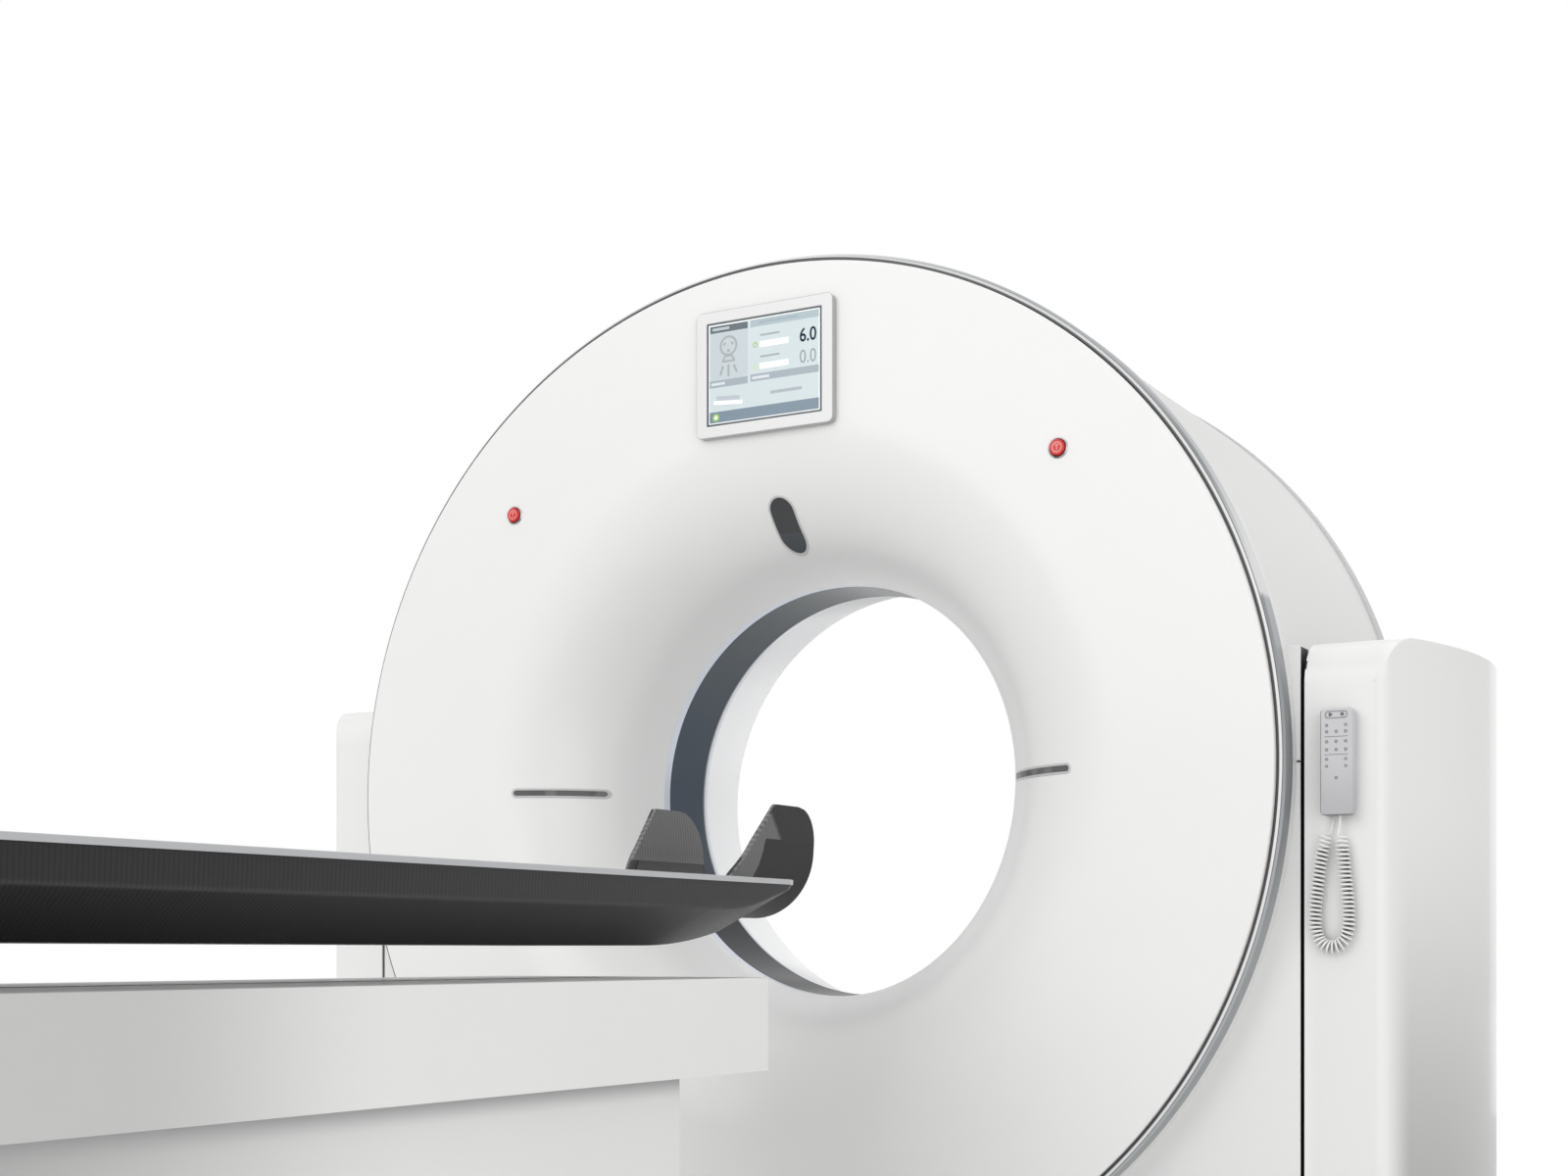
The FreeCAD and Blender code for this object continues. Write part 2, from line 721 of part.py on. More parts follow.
def rings():
    """Silver bands round the covers, the silver lip, the scan window and the bore liner."""
    band_inner = S.cover_rim + S.rim_groove
    flange = S.cover_rim - 2 * S.skin
    node(
        turned(
            "FrontTrim",
            [
                (FRONT_EDGE, band_inner),
                (FRONT_EDGE, S.front_trim_radius - S.trim_bevel),
                (FRONT_EDGE + S.trim_bevel, S.front_trim_radius),
                (SHELL_FRONT, S.front_trim_radius),
                (SHELL_FRONT, flange),
                (FRONT_EDGE + S.trim_lap, flange),
                (FRONT_EDGE + S.trim_lap, band_inner),
            ],
        ),
        "front_trim_ring",
    )
    node(
        turned(
            "RearTrim",
            [
                (REAR_EDGE, band_inner),
                (REAR_EDGE, S.rear_trim_radius - S.trim_bevel),
                (REAR_EDGE - S.trim_bevel, S.rear_trim_radius),
                (SHELL_REAR, S.rear_trim_radius),
                (SHELL_REAR, flange),
                (REAR_EDGE - S.trim_lap, flange),
                (REAR_EDGE - S.trim_lap, band_inner),
            ],
        ),
        "rear_trim_ring",
    )
    outer = S.bore_radius + S.ring_wall
    node(
        turned("Lip", rectangle(LIP_FRONT, -RING_HALF, S.bore_radius, outer)),
        "bore_lip_ring",
    )
    node(
        turned("ScanWindow", rectangle(-RING_HALF, RING_HALF, S.bore_radius, outer)),
        "scan_window_ring",
    )
    node(
        turned(
            "Liner",
            [
                (RING_HALF, S.bore_radius),
                (RING_HALF, outer),
                (S.liner_end, LINER_RADIUS + S.ring_wall),
                (S.liner_end, LINER_RADIUS),
            ],
        ),
        "bore_liner",
    )


def rear_cover():
    """The moulded back with its wide conical mouth."""
    node(
        turned(
            "RearCover",
            [
                (S.liner_end, LINER_RADIUS),
                (S.liner_end + S.rear_funnel, REAR_MOUTH),
                (REAR_FACE, REAR_MOUTH + S.face_bevel),
                (REAR_FACE, S.cover_rim - S.face_bevel),
                (REAR_EDGE, S.cover_rim),
                (REAR_EDGE - S.trim_lap, S.cover_rim),
                (REAR_EDGE - S.trim_lap, S.cover_rim - S.skin),
                (REAR_FACE - S.skin, S.cover_rim - S.skin),
                (REAR_FACE - S.skin, REAR_MOUTH + S.face_bevel),
                (S.liner_end + S.rear_funnel - S.skin, REAR_MOUTH + S.skin * 0.4),
                (S.liner_end, LINER_RADIUS + S.skin * 1.4),
            ],
        ),
        "rear_cover",
    )


def trunnion_hole():
    """The way through both side walls for the trunnions."""
    return rod("x", (0, ISO), S.trunnion_radius + 6, -S.cheek_half - 10, S.cheek_half + 10)


def shoulder_outline(inset, seam):
    """The barrel with its two square shoulders, as seen from the table."""
    side = S.cheek_half - inset
    top = SHOULDER - inset
    radius = S.barrel_radius - inset
    rise = S.shoulder_rise - inset
    meet = (radius * radius - rise * rise).root()
    return [
        (-side, ISO + seam),
        (side, ISO + seam),
        (side, top),
        (meet, top, radius),
        (-meet, top),
        (-side, top),
    ]


def upper_cover():
    """The barrel and shoulders above the seam, with end walls behind the silver bands."""
    seam = S.cover_seam / 2
    outer = extruded(
        "Barrel", "XZ_Plane", [shoulder_outline(Size.of(0), seam)], SHELL_FRONT, SHELL_REAR
    )
    inner = extruded(
        "BarrelHollow",
        "XZ_Plane",
        [shoulder_outline(S.skin, seam - 5)],
        SHELL_FRONT + S.skin,
        SHELL_REAR - S.skin,
    )
    ends = rod("y", (0, ISO), S.wall_opening, SHELL_FRONT - 10, SHELL_REAR + 10)
    node(cut(outer, inner, ends, trunnion_hole()), "upper_cover")


def lower_cover():
    """The straight lower body between the pillars, its underside round about the tilt axis."""
    top = ISO - S.cover_seam / 2
    outer = common(
        block((-S.cheek_half, S.cheek_half), (SHELL_FRONT, SHELL_REAR), (0, top)),
        rod("x", (0, ISO), S.underside_radius, -S.cheek_half, S.cheek_half),
    )
    inside = S.cheek_half - S.skin
    inner = common(
        block((-inside, inside), (SHELL_FRONT + S.skin, SHELL_REAR - S.skin), (0, ISO)),
        rod("x", (0, ISO), S.underside_radius - S.skin, -inside, inside),
    )
    ends = rod("y", (0, ISO), S.wall_opening, SHELL_FRONT - 10, SHELL_REAR + 10)
    node(cut(outer, inner, ends, trunnion_hole()), "lower_cover")


# ---------------------------------------------------------------------------------------------
# Stator and rotor
# ---------------------------------------------------------------------------------------------

FRAME_FAR = S.frame_near + S.frame_plate
ROTOR_FAR = S.rotor_near + S.rotor_plate
PULLEY_AT = (-S.pulley_across, ISO - S.pulley_drop)
LUG_FAR = S.frame_near + S.lug_plate


def washer(name, inner, outer, start, end):
    """A plain ring about the bore's axis."""
    return turned(name, rectangle(start, end, inner, outer))


def tilt_frame():
    """The welded plate that carries the rotor, with an arm and a trunnion at each side."""
    plate = washer("FramePlate", S.frame_inner, S.frame_outer, S.frame_near, FRAME_FAR)
    wall_inside = S.cheek_half - S.skin
    pieces = [plate]
    for sign in (-1, 1):
        arm = sided(sign, S.arm_inner, wall_inside)
        pieces.append(block(arm, (-S.arm_half, FRAME_FAR), (ISO - S.arm_half, ISO + S.arm_half)))
        trunnion = sided(sign, wall_inside, S.trunnion_end)
        pieces.append(rod("x", (0, ISO), S.trunnion_radius, *trunnion))
    pieces.append(rod("y", PULLEY_AT, S.motor_radius + 10, S.frame_near, LUG_FAR))
    shaft_way = rod("y", PULLEY_AT, S.motor_shaft_radius + 8, S.frame_near - 10, LUG_FAR + 5)
    plate_way = rod("y", PULLEY_AT, S.motor_radius + 2, LUG_FAR, FRAME_FAR + 10)
    node(cut(fuse(*pieces), shaft_way, plate_way), "tilt_frame")


def main_bearing():
    node(
        washer(
            "RaceOuter",
            S.race_split + S.fit_gap,
            S.race_outer,
            S.frame_near - S.race_depth,
            S.frame_near,
        ),
        "bearing_outer",
    )
    inner_far = ROTOR_FAR + S.race_depth
    node(washer("RaceInner", S.race_inner, S.race_split, ROTOR_FAR, inner_far), "bearing_inner")


def drive_motor():
    shell = rod("y", PULLEY_AT, S.motor_radius, LUG_FAR, LUG_FAR + S.motor_depth)
    socket = S.motor_depth / 3
    bore = rod("y", PULLEY_AT, S.motor_shaft_radius + S.running_gap, LUG_FAR - 5, LUG_FAR + socket)
    node(cut(shell, bore), "drive_motor")
    wheel = rod("y", PULLEY_AT, S.pulley_radius, S.rotor_near, ROTOR_FAR)
    shaft = rod("y", PULLEY_AT, S.motor_shaft_radius, S.rotor_near, LUG_FAR + socket - 5)
    node(fuse(wheel, shaft), "motor_pulley")


def belt_block(grow, start, end):
    """The space inside a belt run round the rotor and the pulley, grown outwards."""
    big = S.rotor_outer + grow
    small = S.pulley_radius + grow
    span = (S.pulley_across * S.pulley_across + S.pulley_drop * S.pulley_drop).root()
    along = (-S.pulley_across / span, -S.pulley_drop / span)
    across = (S.pulley_drop / span, -S.pulley_across / span)
    lean = (big - small) / span
    spread = (1 - lean * lean).root()
    corners = []
    for radius, centre, side in (
        (big, (Size.of(0), ISO), 1),
        (small, PULLEY_AT, 1),
        (small, PULLEY_AT, -1),
        (big, (Size.of(0), ISO), -1),
    ):
        corners.append(
            (
                centre[0] + radius * (lean * along[0] + side * spread * across[0]),
                centre[1] + radius * (lean * along[1] + side * spread * across[1]),
            )
        )
    return fuse(
        rod("y", (0, ISO), big, start, end),
        rod("y", PULLEY_AT, small, start, end),
        extruded("BeltRun", "XZ_Plane", [corners], start, end),
    )


def drive_belt():
    middle = S.rotor_near + S.rotor_plate / 2
    start, end = middle - S.belt_width / 2, middle + S.belt_width / 2
    node(
        cut(
            belt_block(S.fit_gap + S.belt_wall, start, end),
            belt_block(S.fit_gap, start - 5, end + 5),
        ),
        "drive_belt",
    )


def rotor():
    """The turning disc with the X-ray tube at the top and the detector arc below."""
    near = S.rotor_near
    node(washer("RotorDisc", S.rotor_inner, S.rotor_outer, near, ROTOR_FAR), "rotor_disc")
    slip_far = ROTOR_FAR + S.slip_depth
    node(washer("SlipRing", S.slip_inner, S.slip_outer, ROTOR_FAR, slip_far), "slip_ring")
    tube_at = (Size.of(0), ISO + S.focus_radius + S.tube_radius / 2)
    node(rod("y", tube_at, S.tube_radius, near - S.tube_depth, near), "xray_tube")
    under_tube = tube_at[1] - S.tube_radius
    node(
        block(
            (-S.tube_radius, S.tube_radius),
            (-S.detector_ahead, near),
            (ISO + S.rotor_inner, under_tube),
        ),
        "collimator",
    )
    focus = (0, ISO + S.focus_radius)
    far = S.detector_reach + S.detector_thick
    arc = cut(
        rod("y", focus, far, -S.detector_ahead, near),
        rod("y", focus, S.detector_reach, -S.detector_ahead - 5, near + 5),
    )
    window = block(
        (-S.detector_half, S.detector_half),
        (-S.detector_ahead - 5, near + 5),
        (ISO - S.rotor_outer, ISO),
    )
    node(common(arc, window), "detector_arc")
    node(
        block(
            (S.generator_near, S.generator_far),
            (-S.rotor_box_ahead, near),
            (ISO - S.generator_half, ISO + S.generator_half),
        ),
        "hv_generator",
    )
    node(
        block(
            (-S.generator_far, -S.counter_near),
            (-S.detector_ahead, near),
            (ISO - S.counter_half, ISO + S.counter_half),
        ),
        "counterweight",
    )


# ---------------------------------------------------------------------------------------------
# Base and pillars
# ---------------------------------------------------------------------------------------------

PILLAR_INNER = S.cheek_half + S.tilt_gap
COVER_INNER = PILLAR_INNER + S.liner_plate
PILLAR_FACE = PILLAR_INNER + S.pillar_width
PILLAR_BACK = SHELL_FRONT + S.pillar_depth


def pillar_form(name, inner, inset, start, top):
    """A pillar's outer form, or its hollow when inset: flat front and bowed outer side."""
    front, back = SHELL_FRONT + inset, PILLAR_BACK - inset
    face = PILLAR_FACE - inset
    half_chord = (back - front) / 2
    bow = (half_chord * half_chord + S.pillar_bulge * S.pillar_bulge) / (2 * S.pillar_bulge)
    return extruded(
        name,
        "XY_Plane",
        [[(inner, front), (face, front, bow), (face, back), (inner, back)]],
        start,
        top,
    )


PILLAR_TOP = SHOULDER + S.pillar_rise
LINER_TOP = PILLAR_TOP - S.pillar_round


def liner_panel():
    """The room of a pillar's inner panel."""
    return block(
        (PILLAR_INNER, COVER_INNER),
        (SHELL_FRONT, PILLAR_BACK),
        (S.foot_plate, LINER_TOP),
    )


def pillar_cover():
    """The moulded cover of a pillar, round at the top and open towards the tilting body."""
    outer = pillar_form("PillarForm", PILLAR_INNER, Size.of(0), S.foot_plate, PILLAR_TOP)
    top = PILLAR_TOP.value
    face = PILLAR_FACE.value

    def top_ends(edge):
        box = edge.BoundBox
        return box.ZMin > top - 1 and box.YLength < 0.5

    def outer_edges(edge):
        box = edge.BoundBox
        return box.YLength < 0.5 and abs(box.XMin - face) < 1 and box.ZLength > 100

    rounded(outer, S.pillar_round, top_ends)
    rounded(outer, S.pillar_edge, outer_edges)
    hollow = pillar_form("PillarHollow", COVER_INNER, S.skin, S.foot_plate - 5, LINER_TOP - 2)
    right = cut(outer, hollow, liner_panel())
    node(right, "pillar_cover_right")
    node(mirrored(right), "pillar_cover_left")


def pillar_liners():
    """The flat inner panel of each pillar, with the way for the trunnion."""
    panel = cut(
        liner_panel(),
        rod("x", (0, ISO), S.trunnion_radius + 6, PILLAR_INNER - 5, COVER_INNER + 5),
    )
    node(group(panel, mirrored(panel)), "pillar_liners")


COLUMN_FAR = COVER_INNER + S.column_width
COLUMN_TOP = ISO - S.bearing_half


def pillar_frames():
    """Square steel columns and the bearing blocks that carry the trunnions."""
    wall = S.column_wall
    column = cut(
        block((COVER_INNER, COLUMN_FAR), (-S.column_half, S.column_half), (S.foot_plate, COLUMN_TOP)),
        block(
            (COVER_INNER + wall, COLUMN_FAR - wall),
            (-S.column_half + wall, S.column_half - wall),
            (S.foot_plate - 5, COLUMN_TOP - wall),
        ),
    )
    node(column, "pillar_frame_right")
    node(mirrored(column), "pillar_frame_left")
    middle = (COVER_INNER + COLUMN_FAR) / 2
    near, far = middle - S.bearing_width / 2, middle + S.bearing_width / 2
    bearing = cut(
        block((near, far), (-S.bearing_half, S.bearing_half), (COLUMN_TOP, ISO + S.bearing_half)),
        rod("x", (0, ISO), S.trunnion_radius + S.running_gap, near - 5, far + 5),
    )
    node(group(bearing, mirrored(bearing)), "tilt_bearings")


def base_frame():
    """Two foot plates and the rails between them, with the floor anchor holes."""
    front, back = SHELL_FRONT + S.foot_inset, PILLAR_BACK - S.foot_inset
    pieces = []
    for sign in (-1, 1):
        foot = sided(sign, PILLAR_INNER, S.foot_outer)
        pieces.append(block(foot, (front, back), (0, S.foot_plate)))
    for start in (front, back - S.foot_rail_width):
        rail = (start, start + S.foot_rail_width)
        pieces.append(block((-PILLAR_INNER, PILLAR_INNER), rail, (0, S.foot_rail)))
    holes = []
    for across in (-1, 1):
        for along in (-1, 1):
            holes.append(
                rod(
                    "z",
                    (across * S.anchor_across, along * S.anchor_along),
                    S.anchor_radius,
                    -5,
                    S.foot_plate + 5,
                )
            )
    node(cut(fuse(*pieces), *holes), "base_frame")


def tilt_drive():
    """The gearbox on the right trunnion, bolted to its column, and the motor on it."""
    half = S.gearbox_half
    across = (COLUMN_FAR, COLUMN_FAR + S.gearbox_width)
    box = block(across, (-half, half), (ISO - half, ISO + half))
    foot = block(across, (-half, half), (COLUMN_TOP - S.gearbox_foot, ISO - half))
    bore = rod(
        "x", (0, ISO), S.trunnion_radius + S.running_gap, COLUMN_FAR - 5, S.trunnion_end + 2
    )
    node(cut(fuse(box, foot), bore), "tilt_gearbox")
    at = ((across[0] + across[1]) / 2, ISO)
    node(rod("y", at, S.tilt_motor_radius, half, half + S.tilt_motor_length), "tilt_motor")


# ---------------------------------------------------------------------------------------------
# Handset
# ---------------------------------------------------------------------------------------------

HANDSET_RIGHT = S.handset_left + S.handset_width
HANDSET_TOP = ISO + S.handset_top
HANDSET_BOTTOM = HANDSET_TOP - S.handset_height
DOCK_FRONT = SHELL_FRONT - S.dock_thick
DOCK_BOTTOM = HANDSET_BOTTOM + S.keypad_inset
HANDSET_FRONT = DOCK_FRONT - S.handset_thick


def handset():
    """The remote control on its dock, with its keypad film and the pocket of its two top keys."""
    inset = S.keypad_inset
    node(
        block(
            (S.handset_left + inset, HANDSET_RIGHT - inset),
            (DOCK_FRONT, SHELL_FRONT),
            (DOCK_BOTTOM, HANDSET_TOP - inset),
        ),
        "handset_dock",
    )
    case = extruded(
        "HandsetCase",
        "XZ_Plane",
        [
            round_rectangle(
                S.handset_left, HANDSET_RIGHT, HANDSET_BOTTOM, HANDSET_TOP, S.handset_corner
            )
        ],
        HANDSET_FRONT,
        DOCK_FRONT,
    )
    middle = (S.handset_left + HANDSET_RIGHT) / 2
    pocket_top = HANDSET_TOP - 5
    pocket = extruded(
        "KeyPocket",
        "XZ_Plane",
        [
            round_rectangle(
                middle - S.key_pocket_width / 2,
                middle + S.key_pocket_width / 2,
                pocket_top - S.key_pocket_height,
                pocket_top,
                Size.of(3),
            )
        ],
        HANDSET_FRONT - 5,
        HANDSET_FRONT + S.key_pocket_depth,
    )
    node(cut(case, pocket), "handset_case")
    film_top = pocket_top - S.key_pocket_height - 4
    film = extruded(
        "KeypadFilm",
        "XZ_Plane",
        [
            round_rectangle(
                S.handset_left + inset,
                HANDSET_RIGHT - inset,
                HANDSET_BOTTOM + 18,
                film_top,
                Size.of(2),
            )
        ],
        HANDSET_FRONT - S.keypad_thick,
        HANDSET_FRONT,
    )
    node(film, "handset_keypad")


# The middle line of the curled part, from the dock's side round to the handset's side:
# points in millimetres right of the pillar's inner edge and below the isocentre.
CURL_LINE = [
    (34.4, 106),
    (29.0, 131.6),
    (24.1, 163.5),
    (20.2, 198.1),
    (18.5, 224.6),
    (18.9, 244.0),
    (25.8, 262.0),
    (42.5, 269.5),
    (59.2, 262.0),
    (66.1, 244.0),
    (66.5, 224.6),
    (64.6, 195.3),
    (61.2, 164.2),
    (58.0, 132.2),
    (55.6, 109.8),
]
CURLS = 56
RUNS_PER_CURL = 10
CORD_SIDES = 4


def spline_points(points, count):
    """Evenly spaced points and headings along a smooth curve through the given points."""
    curve = Part.BSplineCurve()
    curve.interpolate(points)
    length = curve.length()
    places = [curve.parameterAtDistance(length * k / count) for k in range(count + 1)]
    return [(curve.value(u), curve.tangent(u)[0]) for u in places]


def curl_points(radius):
    """The corners of the curls: a helix of short runs round the curl line."""
    depth = SHELL_FRONT.value - S.curl_outer.value / 2 - S.curl_off.value
    line = [Vector(PILLAR_INNER.value + x, depth, ISO.value - z) for x, z in CURL_LINE]
    out_of_wall = Vector(0, 1, 0)
    corners = []
    for k, (centre, heading) in enumerate(spline_points(line, CURLS * RUNS_PER_CURL)):
        side = heading.cross(out_of_wall).normalize()
        turn = 2 * math.pi * k / RUNS_PER_CURL
        corners.append(centre + (side * math.cos(turn) + out_of_wall * math.sin(turn)) * radius)
    return corners


def handset_cord():
    """The curled cord: one unbroken wire from the dock through its curls to the handset."""
    wire = S.cord_wire.value
    curls = curl_points(S.curl_outer.value / 2 - wire / 2)
    down = Vector(0, 0, -1)
    dock_depth = SHELL_FRONT - S.dock_thick / 2
    dock_exit = Vector(S.handset_left.value + 15, dock_depth.value, DOCK_BOTTOM.value)
    case_depth = HANDSET_FRONT + S.handset_thick / 2
    case_exit = Vector(HANDSET_RIGHT.value - 20, case_depth.value, HANDSET_BOTTOM.value)
    lead = 3 * wire
    corners = [dock_exit, dock_exit + down * lead, *curls, case_exit + down * lead, case_exit]
    path = Part.makePolygon(corners)
    ring = []
    for k in range(CORD_SIDES + 1):
        turn = 2 * math.pi * k / CORD_SIDES
        ring.append(dock_exit + Vector(math.cos(turn), math.sin(turn), 0) * (wire / 2))
    section = Part.makePolygon(ring)
    square_corners = 1
    cord = doc.addObject("Part::Feature", "HandsetCord")
    cord.Shape = path.makePipeShell([section], True, False, square_corners)
    node(cord, "handset_cord")
    ratio = cord.Shape.Volume / (Part.Face(section).Area * path.Length)
    print(f"cord: wire {path.Length:.0f} mm, volume to section times length {ratio:.4f}")
    print(f"cord: tightest gap to itself {least_gap(path, wire):.2f} mm")


def least_gap(path, wire):
    """The least gap of the wire to itself over two curls, on points under a millimetre apart."""
    points = path.discretize(int(path.Length / 0.8))
    spacing = path.Length / (len(points) - 1)
    skip = int(4 * wire / spacing)
    far = int(2.2 * math.pi * S.curl_outer.value / spacing)
    least = min(
        here.distanceToPoint(there)
        for k, here in enumerate(points)
        for there in points[k + skip : k + skip + far]
    )
    return least - wire


# ---------------------------------------------------------------------------------------------
# Patient table
# ---------------------------------------------------------------------------------------------

CRADLE_TOP = ISO - S.cradle_drop
SHELL_TOP = CRADLE_TOP - S.strip_height
NOSE = -S.nose_reach
TAIL = NOSE - S.cradle_length
TROUGH = CRADLE_TOP - S.trough_drop
HULL = CRADLE_TOP - S.hull_drop
BED_TOP = ISO - S.bed_drop
BED_BOTTOM = BED_TOP - S.bed_height
BED_FRONT = -S.bed_front
BED_BACK = BED_FRONT - S.bed_length
CARRIAGE_BACK = BED_BACK + S.rail_margin + S.buffer + S.cradle_out
CARRIAGE_FRONT = CARRIAGE_BACK + S.carriage_length
BEAM_FOOT = BED_BOTTOM + S.bed_wall
BEAM_TOP = BEAM_FOOT + S.beam_height
RAIL_TOP = BEAM_TOP + S.rail_height
PEDESTAL_FRONT = -S.pedestal_front
PEDESTAL_BACK = PEDESTAL_FRONT - S.pedestal_length
PEDESTAL_MIDDLE = (PEDESTAL_FRONT + PEDESTAL_BACK) / 2


def hull_section(body, along, taper, lift, crease_lift):
    """One cross-section of the cradle: sides, crease, keel and the patient trough."""
    side = S.cradle_half - taper
    keel = S.keel_half - taper * 0.6
    trough_edge = side - S.strip_width
    trough = S.trough_half - taper
    bottom = HULL + lift
    crease = CRADLE_TOP - S.crease_drop + crease_lift
    half = [
        (side, SHELL_TOP),
        (side - 4, crease),
        (keel, bottom),
    ]
    corners = half + [(-x, z) for x, z in reversed(half)]
    corners += [(-trough_edge, SHELL_TOP), (-trough, TROUGH), (trough, TROUGH), (trough_edge, SHELL_TOP)]
    return new_sketch(body, "XZ_Plane", [corners], along)


def cradle_shell():
    """The carbon hull: straight for most of its length, swept up to the nose."""
    body = doc.addObject("PartDesign::Body", "CradleShell")
    zero = Size.of(0)
    run = S.nose_run
    sections = [
        hull_section(body, TAIL, zero, zero, zero),
        hull_section(body, NOSE - run, zero, zero, zero),
        hull_section(body, NOSE - run * 0.45, zero, S.nose_lift * 0.27, S.nose_lift * 0.4),
        hull_section(body, NOSE - S.nose_taper * 1.3, zero, S.nose_lift * 0.75, S.nose_lift * 0.9),
        hull_section(body, NOSE, S.nose_taper, S.nose_lift, S.nose_lift * 1.1),
    ]
    loft = body.newObject("PartDesign::AdditiveLoft", "CradleLoft")
    loft.Profile = sections[0]
    loft.Sections = sections[1:]
    loft.Ruled = True
    node(body, "cradle_shell")


def edge_strips():
    """The light strips that finish the cradle's two long edges."""
    side = S.cradle_half + 2
    inner = side - S.strip_width - 2
    turn = S.nose_taper * 1.3
    strip = extruded(
        "EdgeStrip",
        "XY_Plane",
        [
            [
                (inner, TAIL),
                (side, TAIL),
                (side, NOSE - turn, 2 * turn),
                (side - S.nose_taper, NOSE - 2),
                (inner - S.nose_taper, NOSE - 2),
                (inner, NOSE - turn),
            ]
        ],
        SHELL_TOP,
        CRADLE_TOP,
    )
    node(group(strip, mirrored(strip)), "cradle_edge_strips")


def carriage():
    """The carriage that carries the cradle at its tail, its shoes on the two rails."""
    back, front = CARRIAGE_BACK, CARRIAGE_FRONT
    shoe_foot = RAIL_TOP + S.fit_gap
    plate_foot = shoe_foot + S.shoe_height
    plate_top = plate_foot + S.carriage_plate
    middle = (S.beam_near + S.beam_far) / 2
    pieces = [
        block((-middle, middle), (back, front), (plate_foot, plate_top)),
        block((-S.post_half, S.post_half), (back, front), (plate_foot, HULL)),
    ]
    for sign in (-1, 1):
        across = sided(sign, middle - S.rail_width, middle + S.rail_width)
        for start in (back, front - S.shoe_length):
            along = (start, start + S.shoe_length)
            pieces.append(block(across, along, (shoe_foot, plate_top)))
    node(fuse(*pieces), "cradle_carriage")


def head_holder():
    """A round channel with two wings, on a tongue that lies in the cradle's trough."""
    centre = ISO - S.holder_rise
    top = ISO - S.holder_top
    outer, inner = S.holder_radius, S.holder_radius - S.holder_wall
    lean = S.holder_flare
    heel = -S.holder_end
    band = extruded(
        "HolderBand",
        "XZ_Plane",
        [
            [
                (-outer, centre, outer),
                (Size.of(0), centre - outer, outer),
                (outer, centre),
                (outer + lean, top),
                (inner + lean, top),
                (inner, centre, -inner),
                (Size.of(0), centre - inner, -inner),
                (-inner, centre),
                (-inner - lean, top),
                (-outer - lean, top),
            ]
        ],
        NOSE,
        heel,
    )
    bottom = centre - outer - 5
    corner = S.holder_corner
    side = extruded(
        "HolderSide",
        "YZ_Plane",
        [
            [
                (NOSE, bottom),
                (heel, bottom),
                (heel, top - corner, corner),
                (-S.holder_shoulder, top),
                (-S.holder_crest, top),
                (-S.holder_heel, ISO - S.holder_heel_drop),
                (NOSE, TROUGH + S.holder_wall),
            ]
        ],
        -S.cradle_half,
        S.cradle_half,
    )
    tongue = block(
        (-S.tongue_half, S.tongue_half),
        (NOSE - S.tongue_length, NOSE + 20),
        (TROUGH, TROUGH + S.holder_wall),
    )
    hollow = rod("y", (0, centre), inner, NOSE, NOSE + 25)
    node(fuse(common(band, side), cut(tongue, hollow)), "head_holder")


def bed_cover():
    """The white box under the cradle, open below, with a slot for the carriage post."""
    body = extruded(
        "BedCover",
        "XY_Plane",
        [
            round_rectangle(-S.bed_half, S.bed_half, BED_BACK, BED_FRONT, S.bed_round),
        ],
        BED_BOTTOM,
        BED_TOP,
    )
    top = BED_TOP.value

    def top_edges(edge):
        return edge.BoundBox.ZMin > top - 0.1

    rounded(body, S.bed_round / 2, top_edges)
    wall = S.bed_wall
    hollow = block(
        (-S.bed_half + wall, S.bed_half - wall),
        (BED_BACK + wall, BED_FRONT - wall),
        (BED_BOTTOM - 5, BED_TOP - wall),
    )
    slot = block(
        (-S.slot_half, S.slot_half),
        (BED_BACK + S.rail_margin, CARRIAGE_FRONT + S.cradle_in + S.buffer),
        (BED_TOP - wall - 5, BED_TOP + 5),
    )
    node(cut(body, hollow, slot), "bed_cover")


def bed_frame():
    """Two long beams on a floor plate that closes the bed cover from below."""
    wall = S.bed_wall
    along = (BED_BACK + S.rail_margin, BED_FRONT - S.rail_margin)
    pieces = [
        block(
            (-S.bed_half + wall, S.bed_half - wall),
            (BED_BACK + wall, BED_FRONT - wall),
            (BED_BOTTOM, BEAM_FOOT),
        )
    ]
    for sign in (-1, 1):
        across = sided(sign, S.beam_near, S.beam_far)
        pieces.append(block(across, along, (BEAM_FOOT, BEAM_TOP)))
    node(fuse(*pieces), "bed_frame")
    middle = (S.beam_near + S.beam_far) / 2
    rail = block(
        (middle - S.rail_width / 2, middle + S.rail_width / 2),
        along,
        (BEAM_TOP, RAIL_TOP),
    )
    node(group(rail, mirrored(rail)), "bed_rails")


SKIRT_STEP = S.bed_wall + S.skirt_gap
MIDDLE_FOOT = S.table_plate + S.stage_rest + S.lift_down / 2


def skirt(name, inset, foot):
    """One stage of the telescopic skirt round the pedestal."""
    half = S.pedestal_half - inset
    back, front = PEDESTAL_BACK + inset, PEDESTAL_FRONT - inset
    wall = S.bed_wall
    body = extruded(
        name,
        "XY_Plane",
        [
            round_rectangle(-half, half, back, front, S.bed_round),
            round_rectangle(-half + wall, half - wall, back + wall, front - wall, S.bed_round / 2),
        ],
        foot,
        foot + S.skirt_height,
    )
    return body


def skirts():
    node(skirt("SkirtLower", 2 * SKIRT_STEP, S.table_plate), "skirt_lower")
    node(skirt("SkirtMiddle", SKIRT_STEP, MIDDLE_FOOT), "skirt_middle")
    node(skirt("SkirtUpper", Size.of(0), BED_BOTTOM - S.skirt_height), "skirt_upper")


